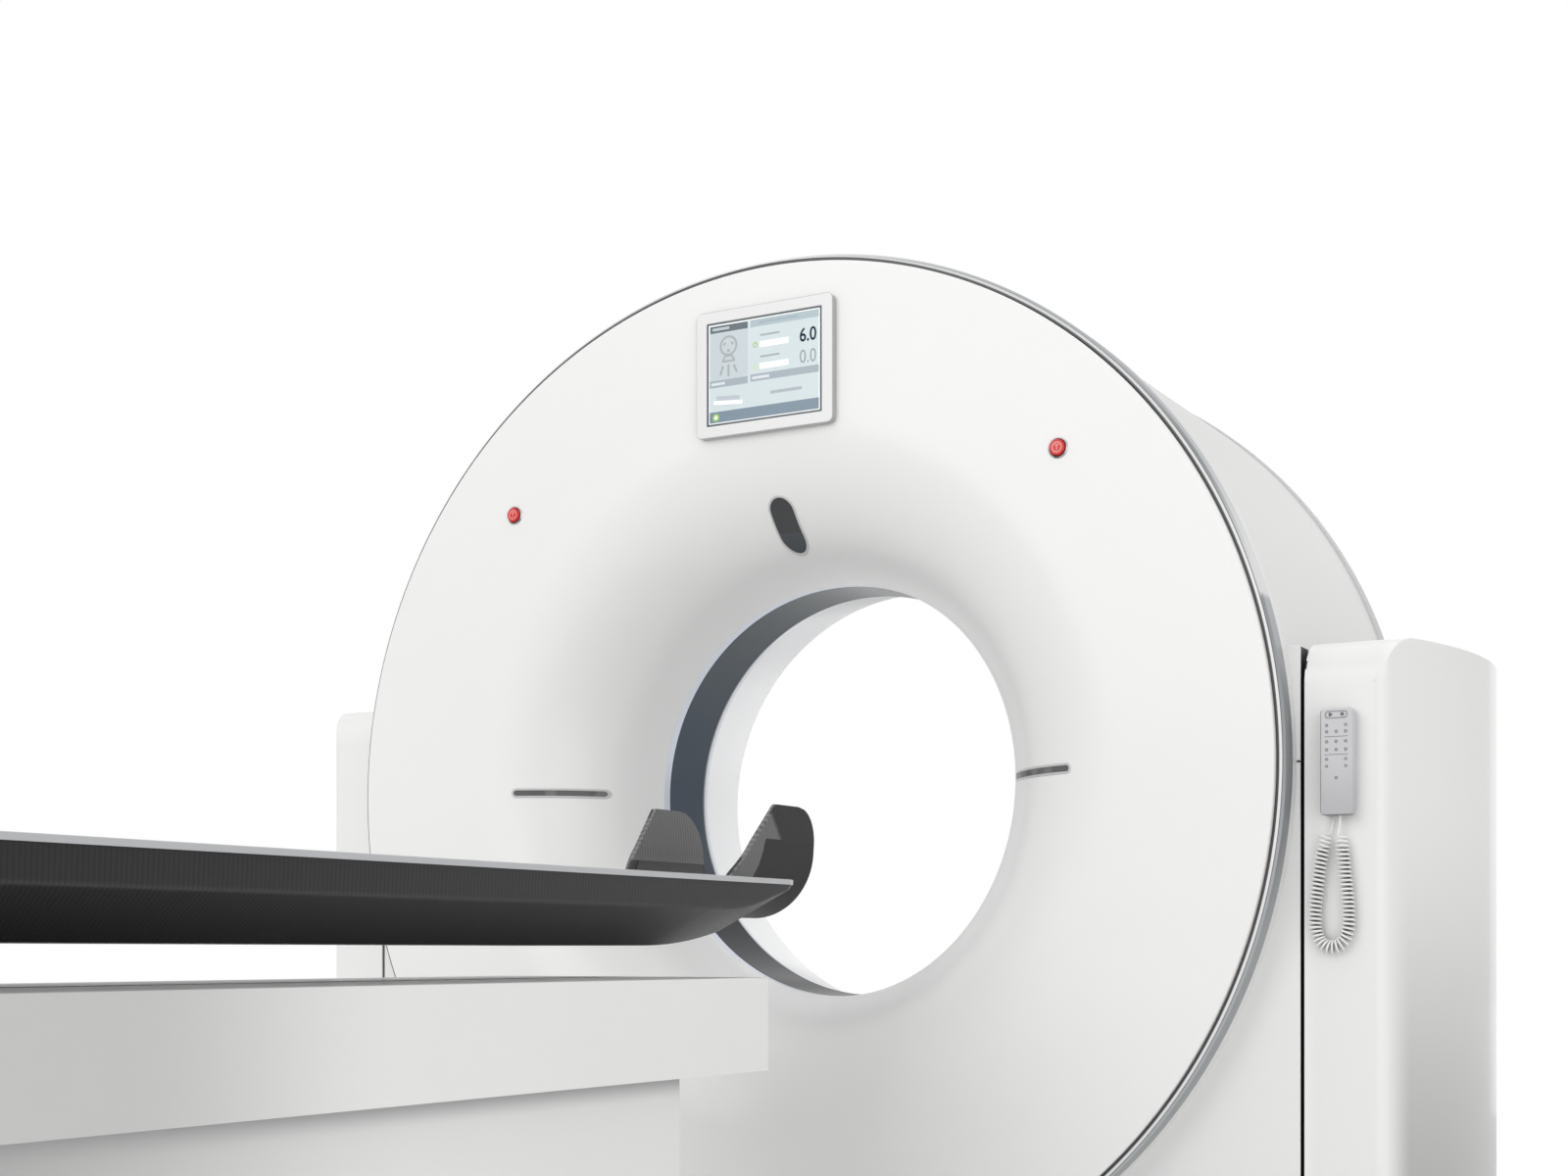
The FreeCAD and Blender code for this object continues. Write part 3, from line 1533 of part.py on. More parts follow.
def mast_stage(stage, foot):
    """One square tube of the lifting column, the outermost being stage 0."""
    half = S.mast_half - stage * (S.mast_wall + S.mast_gap)
    hollow = half - S.mast_wall
    middle = PEDESTAL_MIDDLE
    top = foot + S.mast_height
    return cut(
        block((-half, half), (middle - half, middle + half), (foot, top)),
        block((-hollow, hollow), (middle - hollow, middle + hollow), (foot - 5, top + 5)),
    )


def masts():
    """The three stages of the lifting column, the nut in the middle one and its screw."""
    node(mast_stage(0, S.table_plate), "column_outer")
    at = (Size.of(0), PEDESTAL_MIDDLE)
    reach = S.mast_half - S.mast_wall - S.mast_gap - S.mast_wall / 2
    bridge = (PEDESTAL_MIDDLE - 2 * S.screw_radius, PEDESTAL_MIDDLE + 2 * S.screw_radius)
    nut_top = MIDDLE_FOOT + S.nut_height
    nut = cut(
        fuse(
            block((-reach, reach), bridge, (MIDDLE_FOOT, MIDDLE_FOOT + S.nut_bridge)),
            rod("z", at, 2 * S.screw_radius, MIDDLE_FOOT, nut_top),
        ),
        rod("z", at, S.screw_radius + S.running_gap, MIDDLE_FOOT - 5, nut_top + 5),
    )
    node(fuse(mast_stage(1, MIDDLE_FOOT), nut), "column_middle")
    node(mast_stage(2, BED_BOTTOM - S.mast_height), "column_inner")
    foot = S.table_plate + S.fit_gap
    node(
        fuse(
            rod("z", at, S.screw_radius, foot, S.table_plate + S.mast_height),
            rod("z", at, S.screw_radius + 10, foot, foot + S.stage_rest - 1),
        ),
        "lift_screw",
    )


def table_base():
    """The floor plate of the table with its cable channel, and the lift motor on it."""
    margin = 2 * SKIRT_STEP
    half = S.pedestal_half - margin
    front = PEDESTAL_FRONT - margin
    plate = fuse(
        block((-half, half), (PEDESTAL_BACK + margin, front), (0, S.table_plate)),
        block(
            (-S.channel_half, S.channel_half),
            (front - 10, SHELL_FRONT + S.foot_inset),
            (0, S.table_plate),
        ),
    )
    holes = []
    for across in (-1, 1):
        for along in (-1, 1):
            holes.append(
                rod(
                    "z",
                    (
                        across * S.table_anchor_across,
                        PEDESTAL_MIDDLE + along * S.table_anchor_along,
                    ),
                    S.anchor_radius,
                    -5,
                    S.table_plate + 5,
                )
            )
    node(cut(plate, *holes), "table_base")
    at = (Size.of(0), PEDESTAL_MIDDLE + S.mast_half + S.lift_motor_radius + 20)
    top = S.table_plate + S.lift_motor_height
    node(rod("z", at, S.lift_motor_radius, S.table_plate, top), "lift_motor")


# ---------------------------------------------------------------------------------------------
# The whole machine
# ---------------------------------------------------------------------------------------------


def build():
    front_cover()
    laser_windows()
    display()
    emergency_stops()
    rings()
    rear_cover()
    upper_cover()
    lower_cover()
    tilt_frame()
    main_bearing()
    drive_motor()
    drive_belt()
    rotor()
    base_frame()
    pillar_cover()
    pillar_liners()
    pillar_frames()
    tilt_drive()
    handset()
    handset_cord()
    cradle_shell()
    edge_strips()
    carriage()
    head_holder()
    bed_cover()
    bed_frame()
    skirts()
    masts()
    table_base()


def check_and_write():
    """Stop on any failed feature or bad shape, then write one STEP file per node."""
    doc.recompute()
    for obj in doc.Objects:
        bad = {"Invalid", "Error"} & set(obj.State)
        if bad:
            raise SystemExit(f"{obj.Label}: {obj.State}")
    for obj in NODES:
        if obj.Shape.isNull() or not obj.Shape.isValid():
            raise SystemExit(f"{obj.Label}: bad shape")
    os.makedirs("parts", exist_ok=True)
    for obj in NODES:
        obj.Shape.exportStep(os.path.join("parts", obj.Label + ".step"))
    print(f"{len(NODES)} nodes written")


build()
check_and_write()
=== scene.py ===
"""Dresses the tilting CT scanner: moulded covers, bands, screen, cord, cradle and finishes."""

import json
import math

import bmesh
import bpy
import numpy as np
from bpy.props import FloatProperty, FloatVectorProperty, PointerProperty
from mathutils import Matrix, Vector


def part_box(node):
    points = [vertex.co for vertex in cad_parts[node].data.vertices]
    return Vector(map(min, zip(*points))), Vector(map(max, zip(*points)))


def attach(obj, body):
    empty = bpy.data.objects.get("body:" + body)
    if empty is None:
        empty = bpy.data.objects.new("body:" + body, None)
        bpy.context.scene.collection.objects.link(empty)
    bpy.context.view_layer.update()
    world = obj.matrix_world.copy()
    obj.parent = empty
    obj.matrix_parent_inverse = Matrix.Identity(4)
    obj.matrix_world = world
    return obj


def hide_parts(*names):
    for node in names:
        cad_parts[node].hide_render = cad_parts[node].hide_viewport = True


bl_info = {
    "name": "CT scanner covers",
    "version": (1, 0, 0),
    "blender": (4, 5, 0),
    "location": "View3D > Sidebar > CT scanner",
    "description": "Builds the covers, bands, screen, cord and table finishes of a CT scanner",
    "category": "Object",
}

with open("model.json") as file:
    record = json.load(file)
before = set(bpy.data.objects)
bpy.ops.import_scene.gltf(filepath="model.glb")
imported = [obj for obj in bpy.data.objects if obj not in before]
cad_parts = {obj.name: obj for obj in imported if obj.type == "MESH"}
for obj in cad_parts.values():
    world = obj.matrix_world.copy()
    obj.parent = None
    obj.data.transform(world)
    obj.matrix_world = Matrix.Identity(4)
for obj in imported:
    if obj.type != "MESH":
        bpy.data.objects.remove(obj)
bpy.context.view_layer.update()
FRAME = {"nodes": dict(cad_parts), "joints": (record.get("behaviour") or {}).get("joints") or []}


def seen(name):
    """What the table sees of a node's box: its middle (x, z) and half its width and height."""
    low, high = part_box(name)
    middle = (low.x + high.x) / 2, (low.z + high.z) / 2
    return middle, (high.x - low.x) / 2, (high.z - low.z) / 2


# Places on the frame, in metres.
ISO = next(j["pos_m"][2] for j in FRAME["joints"] if j["name"] == "gantry_tilt")
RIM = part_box("front_cover")[1].x
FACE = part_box("front_cover")[0].y
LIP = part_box("bore_lip_ring")[0].y
WINDOW_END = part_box("scan_window_ring")[1].y
LINER_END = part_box("bore_liner")[1].y
BARREL_FRONT, BARREL_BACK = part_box("upper_cover")[0].y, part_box("upper_cover")[1].y
BAND_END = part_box("front_trim_ring")[1].y - 0.021
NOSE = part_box("cradle_shell")[1].y
CRADLE_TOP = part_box("cradle_edge_strips")[1].z
HANDSET_LOW, HANDSET_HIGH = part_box("handset_case")
STOP_OUT, STOP_UP = seen("stop_button_right")[0]

# Sizes that belong to the shapes below, in metres.
SKIN = 0.008                            # wall of the moulded covers
WALL = 0.006                            # wall of the bore's rings
FLARE = 0.03                            # the liner widens by this much towards the rear
SHOULDER = ISO + 0.168                  # height of the barrel's square shoulders
CASE_CORNER = 0.01                      # corners of the painted shade line round the display's housing
CREASE = CRADLE_TOP - 0.044             # where the cradle's side turns into its keel
TROUGH = CRADLE_TOP - 0.045             # height of the cradle's inner floor
DRAW_RUN, DRAW_IN = 0.0455, 0.035       # end of the nose, and how far the sides draw in there
HOLDER_UP = ISO - 0.115                 # height of the middle of the head holder's round
HOLDER_SEAT = ISO - 0.157               # height at which its back edge starts to slope
HOLDER_BACK = -0.586, -0.484            # its back edge, at the seat and at the top
TRUNNION, BEARING_WIDE = 0.05, 0.06     # radius of the trunnion and width of its bearings
QUARTER = math.pi / 2


# What a user would change


def length(name, default, description):
    return FloatProperty(
        name=name, default=default, description=description, unit="LENGTH", precision=4
    )


def colour(name, default, description):
    return FloatVectorProperty(
        name=name, default=default, description=description, subtype="COLOR", size=3, min=0, max=1
    )


class GantrySizes(bpy.types.PropertyGroup):
    """Sizes of the gantry's covers."""

    bore: length("Bore radius", 0.35, "Inner radius of the scan window")
    funnel: length("Front funnel", 0.24, "Radius of the front mouth's quarter round")
    rear_funnel: length("Rear funnel", 0.246, "Depth of the rear mouth's cone")
    face_round: length("Face rounding", 0.003, "Rounding at the rim of both faces")
    rib: length("Bezel width", 0.004, "Light bezel round each laser window")


class TableSizes(bpy.types.PropertyGroup):
    """Sizes of the patient table."""

    half: length("Half width", 0.23, "Half width of the cradle over its strips")
    nose_run: length("Nose run", 0.238, "Length over which the keel sweeps up")
    cup: length("Head cup", 0.106, "Outer radius of the head holder")


class HandsetSizes(bpy.types.PropertyGroup):
    """Sizes of the remote control and its cord."""

    wire: length("Cord diameter", 0.003, "Diameter of the curled cord")
    curl: length("Curl diameter", 0.02, "Outer diameter of the curls")
    corner: length("Corner", 0.006, "Corner rounding of the case")


class CoverColours(bpy.types.PropertyGroup):
    """Colours of the finishes."""

    cover: colour("Covers", (0.89, 0.89, 0.88), "Moulded white covers")
    silver: colour("Bands", (0.40, 0.415, 0.43), "Silver bands round the covers")
    window: colour("Scan window", (0.078, 0.098, 0.128), "Dark ring in the bore")
    carbon: colour("Carbon fibre", (0.052, 0.052, 0.053), "Cradle and head holder")
    stop: colour("Emergency stop", (0.66, 0.026, 0.032), "Red caps")


# Finishes


def math_node(operation, turned=False):
    """A method that adds a Math node fed with the tone and the others, or the others first."""

    def method(self, *others):
        values = (*others, self) if turned else (self, *others)
        return self.nodes.add("ShaderNodeMath", {"operation": operation}, *values)

    return method


class Tone:
    """A socket of a finish: arithmetic and comparisons on it add Math nodes."""

    def __init__(self, nodes, node, output=0):
        self.nodes, self.node, self.key = nodes, node, output

    @property
    def socket(self):
        return self.node.outputs[self.key]

    def output(self, name):
        return Tone(self.nodes, self.node, name)

    __add__ = __radd__ = math_node("ADD")
    __sub__, __rsub__ = math_node("SUBTRACT"), math_node("SUBTRACT", turned=True)
    __mul__ = __rmul__ = math_node("MULTIPLY")
    __mod__ = math_node("FLOORED_MODULO")
    __gt__, __lt__ = math_node("GREATER_THAN"), math_node("LESS_THAN")
    __abs__, floor = math_node("ABSOLUTE"), math_node("FLOOR")
    root, sine = math_node("SQRT"), math_node("SINE")
    least, most = math_node("MINIMUM"), math_node("MAXIMUM")

    def between(self, low, high):
        return (self > low) * (self < high)

    def ramp(self, low, high):
        """0 below low, 1 above high and smooth between them."""
        settings = {"interpolation_type": "SMOOTHSTEP"}
        return self.nodes.add("ShaderNodeMapRange", settings, self, low, high)


class Nodes:
    """A tree of shader nodes."""

    def __init__(self, tree):
        self.tree = tree
        tree.nodes.clear()

    def add(self, kind, settings, *values, **named):
        """A node of this type, with its settings made first and its sockets fed in order."""
        node = self.tree.nodes.new(kind)
        for key, value in settings.items():
            setattr(node, key, value)
        for key, value in [*enumerate(values), *named.items()]:
            self.feed(node.inputs[key], value)
        return Tone(self, node)

    def feed(self, socket, value):
        """Links a tone, or sets the socket's own value; colours come without their alpha."""
        if isinstance(value, Tone):
            self.tree.links.new(value.socket, socket)
        else:
            socket.default_value = (*value, 1) if socket.type == "RGBA" else value


class Finish(Nodes):
    """One material, its Principled shader and the object coordinates of its piece."""

    def __init__(self, name, base, roughness, **surface):
        self.material = bpy.data.materials.new(f"{name}_finish")
        self.material.use_nodes = True
        self.material.diffuse_color = (*base, 1)
        super().__init__(self.material.node_tree)
        self.shader = self.add("ShaderNodeBsdfPrincipled", {})
        self.set(base_color=base, roughness=roughness, **surface)
        self.base = base
        self.out = self.add("ShaderNodeOutputMaterial", {}, self.shader)
        self.place = self.add("ShaderNodeTexCoord", {}).output("Object")
        split = self.add("ShaderNodeSeparateXYZ", {}, self.place)
        self.x, self.y, self.z = (split.output(axis) for axis in "XYZ")

    def set(self, **surface):
        for key, value in surface.items():
            name = key.replace("_", " ").title().replace("Ior", "IOR")
            self.feed(self.shader.node.inputs[name], value)
        return self

    def noise(self, scale, detail=2, place=None):
        place = place or self.place
        return self.add("ShaderNodeTexNoise", {}, Vector=place, Scale=scale, Detail=detail)

    def mix(self, factor, first, second):
        """A colour between two colours."""
        made = self.add("ShaderNodeMix", {"data_type": "RGBA"}, factor)
        for key, value in ((6, first), (7, second)):
            self.feed(made.node.inputs[key], value)
        return made.output(2)

    def paint(self, tint):
        """The colour of the whole surface, kept for what is laid over it."""
        self.tint = tint
        return self.set(base_color=tint)

    def cloud(self, scale, detail, low, high):
        """A colour that drifts between two colours."""
        return self.paint(self.mix(self.noise(scale, detail), low, high))

    def over(self, mask, tint):
        """A colour laid over the others where the mask is 1."""
        return self.paint(self.mix(mask, self.tint, tint))

    def relief(self, height, depth, strength=1.0):
        """Bumps as deep as depth, in metres, where height goes from 0 to 1."""
        bump = self.add("ShaderNodeBump", {}, Height=height, Distance=depth, Strength=strength)
        return self.set(normal=bump)

    def radius(self):
        """The distance from the bore's axis."""
        return reach(self.x, self.z - ISO)


def reach(across, rise):
    """The root of the sum of both squares."""
    return (across * across + rise * rise).root()


def shade(tint, factor):
    return tuple(c * factor for c in tint)


def chosen(name):
    """A colour that the user set."""
    return tuple(getattr(bpy.context.scene.scanner_colours, name))


def moulded(name, base, roughness=0.38):
    """Satin moulded plastic: a faint cloudiness, an uneven gloss and a fine pebble."""
    look = Finish(name, base, roughness, coat_weight=0.25, coat_roughness=0.12)
    look.cloud(2.5, 3, shade(base, 0.965), base)
    look.set(roughness=roughness - 0.04 + look.noise(60) * 0.08)
    return look.relief(look.noise(900, 1), 0.00002, 0.35)


def metal(name, base, roughness, marks=None):
    """Satin metal with fine turning marks, or an even grain where no marks are given."""
    look = Finish(name, base, roughness, metallic=1.0)
    mark = marks(look) if marks else look.noise(1400, 1)
    look.paint(look.mix(mark, shade(base, 0.93), shade(base, 1.05)))
    return look.set(roughness=roughness - 0.05 + mark * 0.1)


def painted(name, base):
    """Powder paint: an orange-peel skin over an even colour."""
    look = Finish(name, base, 0.45)
    look.cloud(30, 3, shade(base, 0.9), shade(base, 1.06))
    return look.relief(look.noise(500), 0.00008, 0.3)


def turned_marks(look):
    """Rings of fine marks round the bore's axis."""
    place = look.add("ShaderNodeCombineXYZ", {}, look.radius() * 900, look.y * 900, 0.0)
    return look.noise(1.0, 2, place)


GAP_SHADOW = (0.02, 0.02, 0.022)      # painted shadow in the gap beside the tilting body


def cover_white():
    """Moulded white, with painted shade low on the bowed sides and a little on the right
    pillar's front, and a painted shadow down the front of the pillars' inner sides."""
    base = chosen("cover")
    look = moulded("cover_white", base)
    low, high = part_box("pillar_cover_right")
    across = abs(look.x)
    # Painted shade low on the bowed outer sides.
    look.over(across.ramp(0.966, 0.99) * (1 - look.z.ramp(0.35, 1.0)), shade(base, 0.50))
    # Painted shade on the right pillar's front.
    look.over(look.x.ramp(0.853, 0.87) * (1 - look.x.ramp(0.95, 0.97)), shade(base, 0.93))
    # Painted shadow in the gap down the front of the pillars' inner sides.
    gap = across.between(0.83, 0.853) * look.y.between(low.y + 0.004, low.y + 0.04)
    return look.over(gap * (look.z < high.z - 0.03), GAP_SHADOW)


def barrel_white():
    """Smooth satin paint, with painted shade that greys it high up and a painted shadow along the
    front of the sides that face the pillars."""
    base = chosen("cover")
    look = Finish("barrel_white", shade(base, 0.98), 0.5)
    look.cloud(2.5, 3, shade(base, 0.92), shade(base, 0.95))
    # Painted shade, greyer high up.
    look.over((look.z - ISO).ramp(0.35, 0.9), shade(base, 0.78))
    # Painted shadow in the gap along the front of the sides that face the pillars.
    side = abs(look.x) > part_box("upper_cover")[1].x - 0.0005
    return look.over(side * look.y.between(BARREL_FRONT + 0.003, BARREL_FRONT + 0.04), GAP_SHADOW)


def trim_silver():
    """Satin silver band: its face towards the table and the run against the barrel are painted
    white, greyed higher up by painted shade. Lines of painted shade stand on both sides of the
    face, and a painted reflection pales the silver in one stretch and away from the pillar with
    the remote control."""
    base = chosen("silver")
    look = metal("trim_silver", base, 0.34, turned_marks)
    radius, rise = look.radius(), look.z - ISO
    away = 1 - look.x.ramp(-0.1, 0.45)
    white = (radius < RIM + 0.0086).most(look.y > BAND_END)
    # Painted shadow of the groove along the face, wider away from the pillar.
    groove_shadow = radius < away * 0.0034 + RIM + 0.0046
    slant = rise - look.x * 0.44
    # Painted reflection that pales one stretch of the silver.
    pale = slant.ramp(-0.125, -0.112) * (1 - slant.ramp(-0.09, 0.15)) * (look.x > 0.4)
    look.cloud(40, 2, shade(base, 0.96), base)
    # Painted reflection over that stretch and on the side away from the pillar.
    look.over(pale.most(away), (0.72, 0.73, 0.725))
    # Painted shade line along the outer edge of the face.
    look.over(radius.between(RIM + 0.0086, RIM + 0.0096) * (1 - away), (0.2, 0.2, 0.21))
    # White paint, greyed higher up by painted shade.
    look.over(white, look.mix(rise.ramp(0.2, 0.7) * 0.5, (0.80, 0.80, 0.795), (0.45, 0.455, 0.46)))
    look.over(groove_shadow, (0.07, 0.07, 0.073))
    return look.set(metallic=(1 - white.most(groove_shadow)) * (1 - pale * 0.85))


def trim_rear():
    """Plain grey paint on the rear band."""
    look = Finish("trim_rear", (0.60, 0.605, 0.61), 0.5)
    return look.cloud(6, 2, (0.58, 0.585, 0.59), (0.62, 0.625, 0.63))


def lip_silver():
    """Blue-grey satin lip with a fine white line on its front edge."""
    look = metal("lip_silver", (0.50, 0.53, 0.59), 0.3, turned_marks)
    line = look.y < LIP + 0.0035
    look.cloud(300, 1, (0.48, 0.51, 0.57), (0.53, 0.56, 0.62))
    return look.over(line, (0.85, 0.86, 0.87)).set(metallic=1 - line)


def scan_window():
    """Dark bluish film in the bore, greyed towards its top by painted light, made nearly black at
    its foot by painted shade, and duller along both edges."""
    base = chosen("window")
    look = Finish("scan_window", base, 0.3, coat_weight=0.02, coat_roughness=0.1,
                  specular_ior_level=0.06)
    look.cloud(5, 2, shade(base, 0.9), shade(base, 1.15))
    # Painted light: greyer towards the top.
    look.over((look.z - ISO).ramp(0.05, 0.36), (0.125, 0.14, 0.15))
    # Painted shade: nearly black at the foot.
    look.over((ISO - 0.08 - look.z).ramp(0.0, 0.16), (0.003, 0.006, 0.012))
    edge = (look.y > 0.0535).most(look.y < -0.0545)
    return look.set(roughness=0.2 + edge * 0.3)


def liner_white():
    """Pale liner with painted shade at its top, a bluish strip and a dark line beside the window.
    """
    look = moulded("liner_white", (0.95, 0.955, 0.965), 0.3)
    look.cloud(3, 2, (0.95, 0.955, 0.965), (0.97, 0.975, 0.98))
    # Painted shade, greyer at the top.
    look.over((look.z - ISO).ramp(0.2, 0.37), (0.50, 0.51, 0.525))
    look.over(1 - look.y.ramp(WINDOW_END + 0.016, WINDOW_END + 0.026), (0.62, 0.68, 0.78))
    return look.over(look.y < WINDOW_END + 0.0085, (0.02, 0.024, 0.03))


def display_case():
    """Near white in front, with painted shade round its sides and a fine line of painted shade
    along
    its rounded outline: the points as far from the corners' middles as the corner, less the line."""
    look = moulded("display_case", (0.84, 0.84, 0.85), 0.3)
    (x, z), wide, tall = seen("display_housing")
    across = (abs(look.x - x) - (wide - CASE_CORNER)).most(0.0)
    rise = (abs(look.z - z) - (tall - CASE_CORNER)).most(0.0)
    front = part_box("display_housing")[0].y
    look.cloud(2.5, 3, (0.79, 0.79, 0.79), (0.81, 0.81, 0.805))
    # Painted shade along the rounded edge of the outline.
    look.over(reach(across, rise) > CASE_CORNER - 0.0015, (0.50, 0.50, 0.505))
    # Painted shade on the sides.
    return look.over(look.y.ramp(front + 0.0004, front + 0.0014), (0.44, 0.44, 0.44))


def bezel_silver():
    """Silver collars of the stop buttons, with painted shade underneath."""
    look = metal("bezel_silver", (0.62, 0.65, 0.64), 0.3)
    look.cloud(900, 1, (0.60, 0.63, 0.62), (0.66, 0.69, 0.68))
    # Painted shade on the lower part.
    return look.over(1 - (look.z - STOP_UP).ramp(-0.014, -0.002), (0.36, 0.39, 0.38))


def window_bezel():
    """Light grey satin frames of the laser windows."""
    return moulded("window_bezel", (0.60, 0.60, 0.60), 0.3)


def laser_glass():
    """Dark glass: a darker pane and a paler strip in the top one, soft panes at the sides."""
    look = Finish("laser_glass", (0.06, 0.062, 0.066), 0.2, coat_weight=0.1,
                  specular_ior_level=0.3)
    top = (abs(look.x) < 0.03) * (look.z > ISO)
    pane = look.noise(16, 1).ramp(0.47, 0.53) * (1 - top)
    look.paint(look.mix(pane, (0.115, 0.115, 0.115), (0.18, 0.18, 0.18)))
    look.over(top, (0.045, 0.047, 0.049))
    return look.over(top * (look.z < ISO + 0.4115), (0.062, 0.071, 0.082))


def stop_red():
    """Red cap with a pale ring, a pale stroke and a short bar over it."""
    base = chosen("stop")
    look = Finish("stop_red", base, 0.34, coat_weight=0.2, coat_roughness=0.1,
                  specular_ior_level=0.3)
    across, rise = abs(look.x) - STOP_OUT, look.z - STOP_UP
    ring = reach(across, rise).between(0.0060, 0.0084)
    stroke = (abs(across) < 0.0010) * (abs(rise) < 0.0042)
    bar = (abs(across) < 0.0034) * (abs(rise - 0.0034) < 0.0009)
    look.cloud(200, 2, shade(base, 0.9), base)
    return look.over(ring.most(stroke).most(bar), (0.86, 0.30, 0.27))


def handset_grey():
    """Grey case with painted shade a little darker towards its foot and along two of its edges."""
    look = moulded("handset_grey", (0.58, 0.575, 0.595), 0.36)
    foot, side = HANDSET_LOW.z, HANDSET_LOW.x
    look.cloud(2.5, 3, (0.57, 0.565, 0.585), (0.59, 0.585, 0.605))
    # Painted shade towards the foot.
    look.over(1 - look.z.ramp(foot, foot + 0.09), (0.47, 0.465, 0.485))
    # Painted shade lines on the left edge and the foot.
    return look.over((look.x < side + 0.0012).most(look.z < foot + 0.0014), (0.2, 0.2, 0.21))


def handset_side():
    """Dark grey of the rim round the handset's upper keys."""
    return moulded("handset_side", (0.30, 0.30, 0.31), 0.36)


def key_grey():
    return moulded("key_grey", (0.12, 0.12, 0.13), 0.5)


def cord_white():
    """White sheath with small scuffs; the far half of each curl lies in its own shade."""
    look = Finish("cord_white", (0.90, 0.90, 0.885), 0.42, coat_weight=0.1)
    low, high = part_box("handset_cord")
    middle = (low.y + high.y) / 2
    wear = look.noise(300, 3).ramp(0.5, 0.75)
    look.paint(look.mix(wear, (0.92, 0.92, 0.905), (0.82, 0.82, 0.80)))
    # Painted shade on the far half of each curl, seen through the gaps between the turns.
    far = look.y.ramp(middle - 0.002, middle + 0.003) * (look.z < HANDSET_LOW.z - 0.045)
    return look.over(far, (0.16, 0.16, 0.16)).relief(look.noise(1500, 1), 0.00003, 0.3)


def woven(look, along, across, pitch=0.0032):
    """Twill of carbon fibre: over two and under two, each row one thread on. A strand's height
    is the sine of the place across it, and the warp shows where row plus column, modulo 4, is
    below 2."""
    warp, weft = along * (1 / pitch), across * (1 / pitch)
    over = ((warp.floor() + weft.floor()) % 4.0) < 1.5
    strand = ((warp % 1.0) * 3.1416).sine() * over
    strand = strand + ((weft % 1.0) * 3.1416).sine() * (1 - over)
    return strand * 0.5 + over * 0.5


def carbon_cloth(name):
    """Resin-coated carbon cloth with a dull shine."""
    return Finish(name, chosen("carbon"), 0.5, coat_weight=0.03, coat_roughness=0.3,
                  specular_ior_level=0.16)


def toned(look, weave, level):
    """Level times the carbon colour, a fifth darker and lighter with the weave."""
    level = level * (weave * 0.44 + 0.78)
    look.paint(look.mix(level * 0.2, (0, 0, 0), shade(look.base, 5)))
    return look.set(roughness=0.46 - weave * 0.1).relief(weave, 0.0002, 0.35)


def cradle_weave():
    """Painted light pales the side panel towards the nose and over the sweep of the nose, a
    painted highlight runs along the chine, and painted shade keeps the panel under the crease
    darker as far as the sweep of the nose."""
    look = carbon_cloth("cradle_weave")
    weave = woven(look, look.y + look.z, look.y - look.z + look.x)
    sweep = NOSE - bpy.context.scene.scanner_table.nose_run
    # Painted shade on the panel under the crease.
    under = (1 - look.z.ramp(CREASE - 0.004, CREASE)) * (look.y < sweep)
    # Painted highlight along the chine.
    chine_highlight = look.z.ramp(CREASE - 0.008, CREASE - 0.001)
    chine_highlight = chine_highlight * (1 - look.z.ramp(CREASE, CREASE + 0.005)) * (look.y < sweep + 0.02)
    # Painted light growing towards the nose.
    nose_light = look.y.ramp(-2.5, -0.65)
    side, lower = 0.40 + nose_light * 0.46 + chine_highlight * 0.25, 0.34 + nose_light * 0.62
    # Painted light over the sweep of the nose.
    swept = (look.y > sweep) * (1 - look.z.ramp(CREASE - 0.019, CREASE + 0.016)) * 0.4
    return toned(look, weave, side * (1 - under) + lower * under + swept)


def holder_weave():
    """Outside, a painted highlight pales a field beside the sloping edge, painted shade makes a
    plain darker field under it and darkens the lower part. Inside, painted light pales the wings."""
    look = carbon_cloth("holder_weave")
    weave = woven(look, look.y + look.z, look.y - look.z, 0.0036)
    rise = look.z - HOLDER_UP
    outside = reach(look.x, rise.least(0.0)) > 0.1015 + rise.most(0.0) * 0.11
    # Painted highlight: a paler field beside the sloping edge.
    pale = 1 - (look.y + (rise - 0.045) * 0.94).ramp(-0.503, -0.487)
    fold = 0.011
    # Painted shade: a plain darker field under it.
    patch = (rise < fold) * (look.y > (rise - fold) * 0.33 - 0.508)
    outer = 0.64 + pale * 2.4 - (pale * 2.4 + 0.02) * patch
    # Painted shade towards the bottom of the outside.
    outer = outer - (1 - rise.ramp(-0.095, -0.015)) * 0.22 * (1 - patch)
    # Painted light on the inner wings.
    inner = 2.6 * rise.ramp(-0.02, -0.018) + 0.9
    plain = outside * patch
    weave = weave * (1 - plain) + plain * 0.5
    strong = (weave * 1.7 - 0.35) * (1 - plain) + plain * 0.5
    return toned(look, strong, outer * outside + inner * (1 - outside))


def holder_inside():
    """Plain dark finish of the thin sheet inside the head holder."""
    look = Finish("holder_inside", (0.04, 0.04, 0.042), 0.5)
    look.cloud(30, 3, (0.035, 0.035, 0.037), (0.05, 0.05, 0.052))
    return look.relief(look.noise(700), 0.0001, 0.3)


def strip_white():
    """Pale rails, with painted shade greying them towards the far end of the table."""
    look = moulded("strip_white", (0.56, 0.57, 0.585), 0.36)
    far = look.y.ramp(-2.9, -1.9)
    # Painted shade towards the far end.
    return look.paint(look.mix(far, (0.30, 0.305, 0.31), (0.49, 0.50, 0.515)))


def table_white():
    """As the covers, with painted shade a little darker towards the far end of the table."""
    base = chosen("cover")
    look = moulded("table_white", shade(base, 0.985), 0.4)
    look.cloud(2.5, 3, shade(base, 0.95), shade(base, 0.985))
    # Painted shade towards the far end.
    return look.over(1 - look.y.ramp(-1.9, -1.5), shade(base, 0.66))


